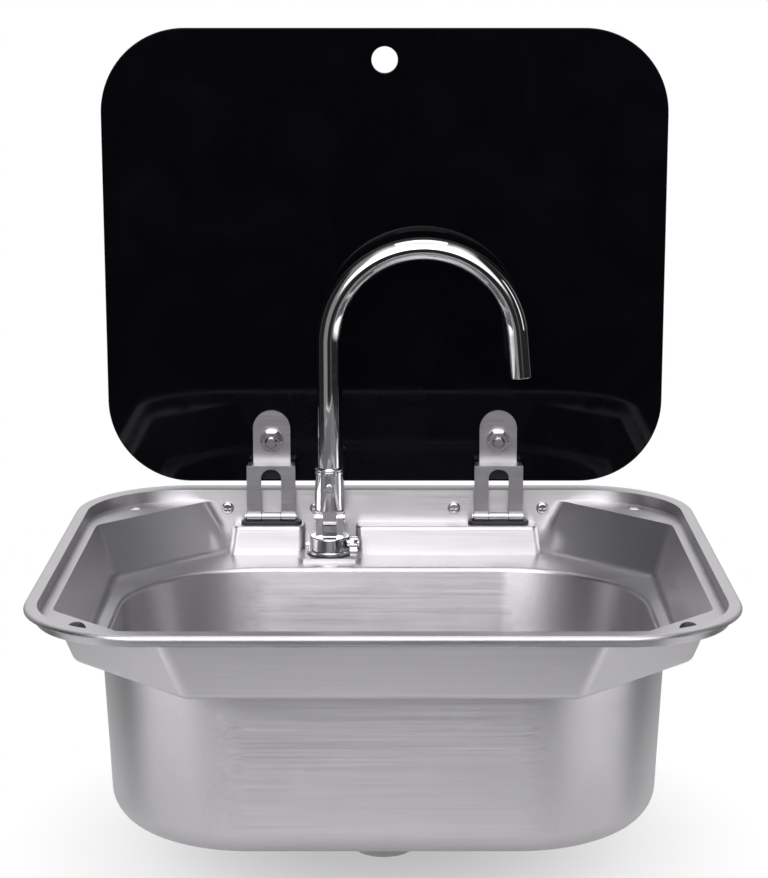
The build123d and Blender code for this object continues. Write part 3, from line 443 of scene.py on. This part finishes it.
def brushed_steel(name, colour, roughness, across=0.0):
    """Satin metal: straight grain, faint clouds and a little wiping. The highlight is drawn
    out across the grain by the share given."""
    material, tree, shader = new_material(name)
    grain = place_group(tree, "brushing")
    marks = place_group(tree, "marks", Size=STEEL_MARKS)
    streak = span(tree, grain.outputs["Grain"], 0.3, 0.7)
    shade = maths(tree, "ADD", maths(tree, "MULTIPLY", streak, GRAIN_SHARE),
                  maths(tree, "MULTIPLY", grain.outputs["Cloud"], CLOUD_SHARE))
    link(tree, two_tone(tree, shade, tint(colour, 0.9), tint(colour, 1.09)),
         shader.inputs["Base Color"])
    rough = span(tree, shade, 0.2, 0.8, roughness - 0.05, roughness + 0.06)
    rough = maths(tree, "ADD", rough, maths(tree, "MULTIPLY", marks.outputs["Mask"], 0.03))
    link(tree, rough, shader.inputs["Roughness"])
    shader.inputs["Metallic"].default_value = 1.0
    shader.inputs["Anisotropic"].default_value = across
    shader.inputs["Anisotropic Rotation"].default_value = 0.25
    lie = add_node(tree, "ShaderNodeCombineXYZ", X=1.0)
    link(tree, lie.outputs[0], shader.inputs["Tangent"])
    bump(tree, grain.outputs["Grain"], GRAIN_DEPTH, shader)
    return material


def polished_metal(name, colour, roughness):
    """Bright plating with faint wipe marks."""
    material, tree, shader = new_material(name)
    marks = place_group(tree, "marks", Size=PLATING_MARKS)
    link(tree, two_tone(tree, marks.outputs["Mask"], tint(colour, 1.0), tint(colour, 0.94)),
         shader.inputs["Base Color"])
    link(tree, span(tree, marks.outputs["Mask"], 0.0, 1.0, roughness, roughness + 0.05),
         shader.inputs["Roughness"])
    shader.inputs["Metallic"].default_value = 1.0
    return material


def moulded(name, colour, roughness, size=900.0, depth=0.04 * MM):
    """Rubber, foam or plastic with a matt moulded grain."""
    material, tree, shader = new_material(name)
    grain = place_group(tree, "moulding", Size=size)
    link(tree, two_tone(tree, grain.outputs["Cloud"], tint(colour, 0.75), tint(colour, 1.3)),
         shader.inputs["Base Color"])
    link(tree, span(tree, grain.outputs["Height"], 0.2, 0.8, roughness - 0.07, roughness + 0.1),
         shader.inputs["Roughness"])
    bump(tree, grain.outputs["Height"], depth, shader)
    return material


def black_glass(name, colour, roughness, level):
    """Gloss black glass with faint finger and wipe marks."""
    material, tree, shader = new_material(name)
    marks = place_group(tree, "marks", Size=GLASS_MARKS)
    link(tree, two_tone(tree, marks.outputs["Mask"], (*colour, 1.0), tint(colour, 1.6)),
         shader.inputs["Base Color"])
    link(tree, span(tree, marks.outputs["Mask"], 0.0, 1.0, roughness, roughness + 0.03),
         shader.inputs["Roughness"])
    shader.inputs["IOR"].default_value = GLASS_IOR
    shader.inputs["Specular IOR Level"].default_value = level
    return material


def coat(obj, *materials):
    """Gives a piece or CAD node its own finishes in place of what it came with."""
    obj.data.materials.clear()
    for material in materials:
        obj.data.materials.append(material)


# ---------------------------------------------------------------- mesh helpers
def alone():
    """Object mode with nothing selected."""
    if bpy.context.object and bpy.context.object.mode != "OBJECT":
        bpy.ops.object.mode_set(mode="OBJECT")
    bpy.ops.object.select_all(action="DESELECT")


def pick(obj):
    """One object selected and active, in object mode."""
    alone()
    obj.select_set(True)
    bpy.context.view_layer.objects.active = obj


def settle(obj, name):
    """Names a piece and moves its place into its mesh."""
    pick(obj)
    obj.name = name
    obj.data.name = name
    bpy.ops.object.transform_apply(location=True, rotation=True, scale=True)
    return obj


def smooth(obj, angle=SMOOTH_ANGLE):
    """Shades as one the faces that meet at less than the angle."""
    pick(obj)
    bpy.ops.object.shade_smooth_by_angle(angle=math.radians(angle))


def merged_copy(node, name, angle=SMOOTH_ANGLE):
    """A copy of a CAD node with its triangles joined, so that it can be shaded smoothly."""
    copy = NODES[node].copy()
    copy.data = NODES[node].data.copy()
    for key in list(copy.keys()):
        if key.startswith("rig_"):
            del copy[key]
    copy.parent = None
    bpy.context.scene.collection.objects.link(copy)
    copy.name = name
    copy.data.name = name
    copy.hide_render = False
    copy.hide_viewport = False
    pick(copy)
    bpy.ops.mesh.customdata_custom_splitnormals_clear()
    bpy.ops.object.mode_set(mode="EDIT")
    bpy.ops.mesh.select_all(action="SELECT")
    bpy.ops.mesh.remove_doubles(threshold=COPY_MERGE)
    bpy.ops.object.mode_set(mode="OBJECT")
    smooth(copy, angle)
    return copy


def eased_copy(node, name, segments=2):
    """A merged copy of a CAD node with its sharp edges broken by a small bevel."""
    copy = merged_copy(node, name)
    bpy.ops.object.mode_set(mode="EDIT")
    bpy.ops.mesh.select_all(action="SELECT")
    bpy.ops.mesh.dissolve_limited(angle_limit=math.radians(FLAT_ANGLE))
    bpy.ops.object.mode_set(mode="OBJECT")
    stem = node.removesuffix("_left").removesuffix("_right")
    finish_edges(copy, EDGE_WIDTHS[stem] * MM, segments)
    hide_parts(node)
    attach(copy, body_of_node(node))
    return copy


def finish_edges(obj, width, segments, angle=SMOOTH_ANGLE):
    """Shades the curved faces smoothly and breaks the sharp edges with a small bevel."""
    smooth(obj, angle)
    bevel_edges = obj.modifiers.new("edges", "BEVEL")
    bevel_edges.width = width
    bevel_edges.segments = segments
    bevel_edges.limit_method = "ANGLE"
    bevel_edges.angle_limit = math.radians(angle)
    bevel_edges.harden_normals = True
    bpy.ops.object.modifier_apply(modifier="edges")


def body_of_node(node):
    """The body that a CAD node rides on."""
    return NODES[node]["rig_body"]


def select_parts(obj, kind, test):
    """Edit mode with the edges or corners selected whose middle passes the test."""
    pick(obj)
    bpy.ops.object.mode_set(mode="EDIT")
    bpy.ops.mesh.select_mode(type=kind)
    bpy.ops.mesh.select_all(action="DESELECT")
    mesh = bmesh.from_edit_mesh(obj.data)
    for part in mesh.verts if kind == "VERT" else mesh.edges:
        points = [part.co] if kind == "VERT" else [corner.co for corner in part.verts]
        part.select_set(bool(test(sum(points, Vector()) / len(points))))
    mesh.select_flush_mode()
    bmesh.update_edit_mesh(obj.data)


def tidy_shell():
    """Closes the edited piece's seams, turns its faces outwards and leaves edit mode."""
    bpy.ops.mesh.select_all(action="SELECT")
    bpy.ops.mesh.remove_doubles(threshold=NEW_MERGE)
    bpy.ops.mesh.normals_make_consistent(inside=False)
    bpy.ops.object.mode_set(mode="OBJECT")


def drill(obj, radius, place, depth):
    """Drills a round hole along Y through a piece."""
    bpy.ops.object.select_all(action="DESELECT")
    bpy.ops.mesh.primitive_cylinder_add(vertices=HOLE_SIDES, radius=radius, depth=depth,
                                        location=place,
                                        rotation=(math.radians(90.0), 0.0, 0.0))
    cutter = bpy.context.object
    pick(obj)
    hole = obj.modifiers.new("hole", "BOOLEAN")
    hole.operation = "DIFFERENCE"
    hole.solver = "EXACT"
    hole.object = cutter
    bpy.ops.object.modifier_apply(modifier="hole")
    bpy.data.objects.remove(cutter, do_unlink=True)


def thread(name, radius, pitch, low, high, axis):
    """A screw thread round an upright axis: one tooth, carried round and up by a screw."""
    depth = THREAD_DEPTH * pitch
    tenth = depth / 10
    middle = low + pitch / 2
    alone()
    bpy.ops.mesh.primitive_plane_add(size=1.0, location=(radius - depth / 2, 0.0, middle),
                                     rotation=(math.radians(90.0), 0.0, 0.0))
    bpy.context.object.scale = (depth, pitch, 1.0)
    run = settle(bpy.context.object, name)
    select_parts(run, "EDGE", lambda at: at.x > radius - tenth)
    bpy.ops.transform.resize(value=(1.0, 1.0, THREAD_CREST),
                             center_override=(radius, 0.0, middle))
    select_parts(run, "EDGE", lambda at: at.x < radius - depth + tenth)
    bpy.ops.mesh.delete(type="EDGE")
    bpy.ops.object.mode_set(mode="OBJECT")
    turns = run.modifiers.new("turns", "SCREW")
    turns.screw_offset = pitch
    turns.iterations = int((high - low) / pitch) - 1
    turns.steps = turns.render_steps = THREAD_STEPS
    turns.use_merge_vertices = True
    turns.merge_threshold = NEW_MERGE
    bpy.ops.object.modifier_apply(modifier="turns")
    run.location = (axis[0], axis[1], 0.0)
    settle(run, name)
    smooth(run)
    return run


def thin_core(obj, axis, radius, core, low, high):
    """Turns a plain round part of a piece down to the root of its thread."""
    select_parts(obj, "VERT", lambda at: low < at.z < high and abs(
        math.hypot(at.x - axis[0], at.y - axis[1]) - radius) < CORE_NEAR)
    ratio = core / radius
    bpy.ops.transform.resize(value=(ratio, ratio, 1.0), center_override=(axis[0], axis[1], low))
    bpy.ops.object.mode_set(mode="OBJECT")


# ---------------------------------------------------------------- operators
class SINK_OT_basin(bpy.types.Operator):
    """Finish the pressed basin and the waste dish"""
    bl_idname = "sink.basin"
    bl_label = "Basin"

    def execute(self, context):
        steel = context.scene.sink_steel
        sheet = brushed_steel("brushed_stainless", tuple(steel.colour), steel.roughness,
                              across=0.6)
        basin = merged_copy("basin", "pressed_basin", BASIN_ANGLE)
        coat(basin, sheet)
        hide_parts("basin")
        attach(basin, "root")
        coat(eased_copy("waste_dish", "pressed_waste_dish"), sheet)
        return {"FINISHED"}


class SINK_OT_hinges(bpy.types.Operator):
    """Finish the lid's hinges and their fasteners"""
    bl_idname = "sink.hinges"
    bl_label = "Hinges"

    def execute(self, context):
        steel = context.scene.sink_steel
        satin = brushed_steel("satin_steel", tuple(steel.hinge_colour), roughness=0.34)
        plated = polished_metal("plated_steel", PLATED, roughness=0.16)
        for side in SIDES:
            for stem in ("hinge_arm_", "hinge_bracket_"):
                coat(eased_copy(stem + side, "pressed_" + stem + side), satin)
            for stem in ("hinge_pin_", "lid_bolt_", "lid_washer_", "lid_nut_"):
                coat(eased_copy(stem + side, "plated_" + stem + side), plated)
        for name in ("bracket_screws", "bracket_nuts"):
            coat(eased_copy(name, "plated_" + name), plated)
        return {"FINISHED"}


class SINK_OT_glass(bpy.types.Operator):
    """Finish the black glass lid"""
    bl_idname = "sink.glass"
    bl_label = "Glass Lid"

    def execute(self, context):
        settings = context.scene.sink_glass
        low, high = (Vector(corner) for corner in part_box("glass_lid"))
        middle = (low + high) / 2
        size = high - low
        alone()
        bpy.ops.mesh.primitive_cube_add(size=1.0, location=middle, scale=size)
        lid = settle(bpy.context.object, "lid_glass")
        select_parts(lid, "EDGE", lambda at: abs(abs(at.x) - size.x / 2) < MM and min(
            at.z - low.z, high.z - at.z) < MM and abs(at.y - middle.y) < MM)
        bpy.ops.mesh.bevel(offset=settings.corner, segments=CORNER_SEGMENTS, affect="EDGES",
                           clamp_overlap=False)
        bpy.ops.object.mode_set(mode="OBJECT")
        through = 3 * size.y
        drill(lid, FINGER_HOLE, (0.0, middle.y, high.z - FINGER_HOLE_DROP), through)
        for side in SIDES:
            washer_low, washer_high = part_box("lid_washer_" + side)
            drill(lid, BOLT_HOLE, ((washer_low[0] + washer_high[0]) / 2, middle.y,
                                   (washer_low[2] + washer_high[2]) / 2), through)
        finish_edges(lid, settings.edge_bevel, segments=4)
        coat(lid, black_glass("black_glass", tuple(settings.colour), roughness=0.04, level=0.1))
        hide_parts("glass_lid")
        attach(lid, "lid")
        return {"FINISHED"}


class SINK_OT_tap(bpy.types.Operator):
    """Finish the folding tap"""
    bl_idname = "sink.tap"
    bl_label = "Tap"

    def execute(self, context):
        settings = context.scene.sink_tap
        chrome = polished_metal("chrome", tuple(settings.chrome), roughness=0.05)
        brass = brushed_steel("brass_fitting", BRASS, roughness=0.3)
        for name in ("tap_turret", "tap_fold_pin", "tap_sleeve", "tap_collar", "tap_set_screw",
                     "spout_insert", "valve_lever", "lever_screw"):
            coat(eased_copy(name, "polished_" + name), chrome)
        coat(self.swan_neck(settings), chrome)
        self.foot(settings, chrome, brass)
        coat(eased_copy("tap_locknut", "brass_locknut"), brass)
        coat(eased_copy("tap_lock_washer", "steel_lock_washer"),
             polished_metal("washer_steel", WASHER_STEEL, roughness=0.22))
        return {"FINISHED"}

    def foot(self, settings, chrome, brass):
        """The tap's foot: plated above the deck, bare and threaded below it."""
        foot = eased_copy("tap_base", "tap_foot")
        low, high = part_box("tap_base")
        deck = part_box("tap_base_seal")[1][2]
        axis = ((low[0] + high[0]) / 2, (low[1] + high[1]) / 2)
        shank_low = low[2] + settings.inlet_length
        coat(foot, chrome, brass)
        for face in foot.data.polygons:
            face.material_index = 1 if face.center.z < deck - BRASS_DROP else 0
        for name, radius, pitch, start, end in (
                ("shank_thread", settings.shank_radius, SHANK_PITCH, shank_low, deck),
                ("inlet_thread", settings.inlet_radius, INLET_PITCH, low[2],
                 shank_low - INLET_NECK)):
            thin_core(foot, axis, radius, radius - THREAD_DEPTH * pitch,
                      start - CORE_REACH, end + CORE_REACH)
            run = thread(name, radius, pitch, start, end, axis)
            coat(run, brass)
            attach(run, "root")

    def swan_neck(self, settings):
        """The bent pipe: a ring drawn up, spun through the arch and drawn out to its tip."""
        low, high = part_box("tap_spout")
        radius = settings.pipe_radius
        x, y = low[0] + radius, (low[1] + high[1]) / 2
        arch = high[2] - radius - settings.arch_radius
        alone()
        bpy.ops.mesh.primitive_circle_add(vertices=PIPE_SIDES, radius=radius,
                                          fill_type="NOTHING", location=(x, y, low[2]))
        pipe = settle(bpy.context.object, "swan_neck")
        bpy.ops.object.mode_set(mode="EDIT")
        bpy.ops.mesh.select_all(action="SELECT")
        bpy.ops.mesh.extrude_region_move(TRANSFORM_OT_translate={"value": (0, 0, arch - low[2])})
        bpy.ops.mesh.spin(steps=BEND_STEPS, angle=settings.arch_sweep, axis=(0, -1, 0),
                          center=(x + settings.arch_radius, y, arch))
        sweep = settings.arch_sweep
        tail = Vector((math.sin(sweep), 0, math.cos(sweep))) * settings.tail
        bpy.ops.mesh.extrude_region_move(TRANSFORM_OT_translate={"value": tail})
        tidy_shell()
        wall = pipe.modifiers.new("wall", "SOLIDIFY")
        wall.thickness = settings.wall
        wall.offset = -1.0
        pick(pipe)
        bpy.ops.object.modifier_apply(modifier="wall")
        finish_edges(pipe, PIPE_EDGE, segments=3, angle=PIPE_ANGLE)
        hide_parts("tap_spout")
        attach(pipe, "tap")
        return pipe


class SINK_OT_rubber(bpy.types.Operator):
    """Finish the rubber, foam and plastic pieces"""
    bl_idname = "sink.rubber"
    bl_label = "Seals"

    def execute(self, context):
        rubber = moulded("black_rubber", RUBBER, roughness=0.5)
        foam = moulded("foam_strip", FOAM, roughness=0.85, size=700.0, depth=0.25 * MM)
        nylon = moulded("nylon", NYLON, roughness=0.4)
        plastic = moulded("grey_plastic", PLASTIC, roughness=0.42)
        for side in SIDES:
            for stem in ("bumper_", "grommet_", "glass_pad_"):
                coat(eased_copy(stem + side, "rubber_" + stem + side), rubber)
            coat(NODES["bolt_bush_" + side], nylon)
        for name in ("tap_base_seal", "tap_turret_ring", "waste_gasket", "plug_stopper"):
            coat(eased_copy(name, "rubber_" + name), rubber)
        coat(eased_copy("rim_seal", "foam_rim_seal", segments=3), foam)
        coat(eased_copy("waste_cup", "moulded_waste_cup", segments=3), plastic)
        return {"FINISHED"}


class SINK_OT_waste(bpy.types.Operator):
    """Finish the waste's screw and the plug's knob"""
    bl_idname = "sink.waste"
    bl_label = "Waste"

    def execute(self, context):
        bright = polished_metal("bright_steel", BRIGHT_STEEL, roughness=0.12)
        coat(eased_copy("waste_screw", "bright_waste_screw"), bright)
        coat(eased_copy("plug_knob", "bright_plug_knob"), bright)
        return {"FINISHED"}


# ---------------------------------------------------------------- stage
CAMERA_PLACE = (6.85 * MM, -1410.54 * MM, 373.07 * MM)
CAMERA_PITCH = 12.35
PICTURE = (768, 878)
FOCAL_PIXELS = 2298.37
PRINCIPAL_POINT = (394.65, 456.16)
SENSOR = 36.0
FLOOR_RADIUS = 1.6
FLOOR_SIDES = 96
FLOOR_ROUGHNESS = 0.9

# each lamp's place, what it points at, its size in metres and its share of the key's power
LAMPS = {
    "key": ((-0.45, -1.55, 0.85), (0.0, 0.0, 0.0), (1.3, 0.5), 1.0),
    "overhead": ((0.0, 0.1, 1.6), (0.0, 0.0, 0.0), (0.9, 0.9), 0.6),
    "side_strip": ((1.5, -0.5, 0.5), (0.0, 0.0, 0.05), (0.25, 0.9), 0.13),
}

# where metal sees the parts of the studio: each span is of one axis of the direction it looks
# in, from where a part is not seen, or only by the share given, to where it is seen in full
FRONT_ALONG = (0.3, -0.1)
BACKDROP_ALONG = (0.1, 0.75)
BACKDROP_UP = (0.0, 0.4)
BACKDROP_LOW_SHARE = 0.4
SOFT_BOX_UP = (0.06, 0.22)
SOFT_BOX_ASIDE = (0.6, 0.35)
SOFT_BOX_TOP = (0.95, 0.7)
SOFT_BOX_TOP_SHARE = 0.15
PALE_FLOOR_ASIDE = (0.4, 0.7)
PALE_FLOOR_UP = (-0.2, -0.3)

# where each window begins and ends from left to right, and how soft its sides are
LEFT_WINDOW = (-0.8, -0.2, 0.06)
RIGHT_WINDOW = (0.24, 0.5, 0.04)
RIGHT_WINDOW_DIMMER = 3


def make_camera():
    """The camera at the photograph's viewing angle."""
    bpy.ops.object.camera_add(location=CAMERA_PLACE,
                              rotation=(math.radians(90.0 - CAMERA_PITCH), 0.0, 0.0))
    camera = bpy.context.object
    camera.name = "photo_camera"
    camera.data.sensor_width = SENSOR
    camera.data.lens = SENSOR * FOCAL_PIXELS / PICTURE[1]
    camera.data.shift_x = (PICTURE[0] / 2 - PRINCIPAL_POINT[0]) / PICTURE[1]
    camera.data.shift_y = (PRINCIPAL_POINT[1] - PICTURE[1] / 2) / PICTURE[1]
    camera.data.clip_end = 200.0
    bpy.context.scene.camera = camera


def make_floor(settings):
    """A pale floor: the camera sees it run out into white, and metal sees it end."""
    low = FRAME_BOX[0][2]
    bpy.ops.mesh.primitive_circle_add(vertices=FLOOR_SIDES, radius=FLOOR_RADIUS,
                                      fill_type="NGON", location=(0.0, 0.0, low))
    floor = settle(bpy.context.object, "studio_floor")
    material, tree, shader = new_material("studio_floor")
    shader.inputs["Base Color"].default_value = (*settings.floor_colour, 1.0)
    shader.inputs["Roughness"].default_value = FLOOR_ROUGHNESS
    shader.inputs["Specular IOR Level"].default_value = 0.0
    where = tree.nodes.new("ShaderNodeTexCoord")
    flat = tree.nodes.new("ShaderNodeVectorMath")
    flat.operation = "LENGTH"
    link(tree, where.outputs["Object"], flat.inputs[0])
    rays = tree.nodes.new("ShaderNodeLightPath")
    to_camera = span(tree, flat.outputs["Value"], settings.shadow_start, settings.shadow_end)
    to_metal = span(tree, flat.outputs["Value"], settings.fade_start, settings.fade_end)
    far = maths(tree, "MAXIMUM",
                maths(tree, "MULTIPLY", to_camera, rays.outputs["Is Camera Ray"]),
                maths(tree, "MULTIPLY", to_metal, rays.outputs["Is Glossy Ray"]))
    white = tree.nodes.new("ShaderNodeEmission")
    open_air = tree.nodes.new("ShaderNodeBsdfTransparent")
    beyond = mixed_shader(tree, rays.outputs["Is Camera Ray"], open_air, white)
    ground = mixed_shader(tree, far, shader, beyond)
    geometry = tree.nodes.new("ShaderNodeNewGeometry")
    sided = mixed_shader(tree, geometry.outputs["Backfacing"], ground, open_air)
    link(tree, sided.outputs[0], tree.nodes["Material Output"].inputs["Surface"])
    coat(floor, material)


def band(tree, value, low, high, edge, height):
    """A height where a value lies between two, with soft edges."""
    return maths(tree, "MULTIPLY", span(tree, value, low, low + edge),
                 span(tree, value, high, high - edge, 0.0, height))


def make_world(settings):
    """Even light all round and a white ground for the camera. Metal and glass see a dim room
    with a backdrop behind the sink, a wide soft box up in front, a tall window at the left,
    a narrow one at the right, and pale floor low down at both sides."""
    world = bpy.data.worlds.new("studio")
    bpy.context.scene.world = world
    world.use_nodes = True
    tree = world.node_tree
    ground = tree.nodes["Background"]
    rays = tree.nodes.new("ShaderNodeLightPath")
    where = tree.nodes.new("ShaderNodeTexCoord")
    facing = tree.nodes.new("ShaderNodeSeparateXYZ")
    link(tree, where.outputs["Generated"], facing.inputs[0])
    across, along, up = (facing.outputs[name] for name in "XYZ")
    aside = maths(tree, "ABSOLUTE", across)
    backdrop = maths(tree, "MULTIPLY", span(tree, along, *BACKDROP_ALONG),
                     span(tree, up, *BACKDROP_UP, BACKDROP_LOW_SHARE))
    soft_box = maths(tree, "MULTIPLY", span(tree, up, *SOFT_BOX_UP),
                     span(tree, aside, *SOFT_BOX_ASIDE, 0.0, settings.soft_box))
    soft_box = maths(tree, "MULTIPLY", soft_box,
                     span(tree, up, *SOFT_BOX_TOP, SOFT_BOX_TOP_SHARE))
    pale_floor = maths(tree, "MULTIPLY", span(tree, aside, *PALE_FLOOR_ASIDE),
                       span(tree, up, *PALE_FLOOR_UP, 0.0, settings.low_sides))
    front = maths(tree, "MAXIMUM", soft_box, pale_floor)
    for window in (band(tree, across, *LEFT_WINDOW, settings.windows),
                   band(tree, across, *RIGHT_WINDOW, settings.windows / RIGHT_WINDOW_DIMMER)):
        front = maths(tree, "MAXIMUM", front, window)
    front = maths(tree, "MULTIPLY", front, span(tree, along, *FRONT_ALONG))
    room = maths(tree, "MAXIMUM", backdrop, front)
    room = maths(tree, "MAXIMUM", room, settings.room)
    seen = maths(tree, "MAXIMUM", rays.outputs["Is Glossy Ray"],
                 rays.outputs["Is Transmission Ray"])
    strength = mixed_value(tree, seen, settings.ambient, room)
    ground.inputs["Color"].default_value = (1.0, 1.0, 1.0, 1.0)
    link(tree, mixed_value(tree, rays.outputs["Is Camera Ray"], strength, 1.0),
         ground.inputs["Strength"])


def add_lamp(name, place, target, size, power):
    """A rectangular area lamp that points at a target."""
    bpy.ops.object.light_add(type="AREA", location=place)
    lamp = bpy.context.object
    lamp.name = name
    lamp.data.shape = "RECTANGLE"
    lamp.data.size = size[0]
    lamp.data.size_y = size[1]
    lamp.data.energy = power
    lamp.rotation_euler = (Vector(target) - Vector(place)).to_track_quat("-Z", "Y").to_euler()


class SINK_OT_stage(bpy.types.Operator):
    """Set up the floor, the light and the camera"""
    bl_idname = "sink.stage"
    bl_label = "Stage"

    def execute(self, context):
        settings = context.scene.sink_stage
        make_camera()
        make_floor(settings)
        make_world(settings)
        for name, (place, target, size, share) in LAMPS.items():
            add_lamp(name, place, target, size, settings.key_power * share)
        context.scene.view_settings.view_transform = "Standard"
        return {"FINISHED"}


class SINK_PT_panel(bpy.types.Panel):
    """Builds the sink's looks piece by piece"""
    bl_label = "Caravan Sink"
    bl_space_type = "VIEW_3D"
    bl_region_type = "UI"
    bl_category = "Sink"

    def draw(self, context):
        for operator in OPERATORS:
            self.layout.operator(operator.bl_idname)


SETTINGS = {"sink_steel": SinkSteelSettings, "sink_glass": SinkGlassSettings,
            "sink_tap": SinkTapSettings, "sink_stage": SinkStageSettings}
OPERATORS = (SINK_OT_basin, SINK_OT_hinges, SINK_OT_glass, SINK_OT_tap, SINK_OT_rubber,
             SINK_OT_waste, SINK_OT_stage)


def register():
    """Registers the settings, the operators and the panel."""
    for kind in (*SETTINGS.values(), *OPERATORS, SINK_PT_panel):
        bpy.utils.register_class(kind)
    for name, kind in SETTINGS.items():
        setattr(bpy.types.Scene, name, bpy.props.PointerProperty(type=kind))


def unregister():
    """Takes back what register did."""
    for name in SETTINGS:
        delattr(bpy.types.Scene, name)
    for kind in reversed((*SETTINGS.values(), *OPERATORS, SINK_PT_panel)):
        bpy.utils.unregister_class(kind)


def main():
    """Builds every piece and the stage."""
    register()
    alone()
    for step in ("basin", "hinges", "glass", "tap", "rubber", "waste", "stage"):
        getattr(bpy.ops.sink, step)()


if __name__ == "__main__":
    main()
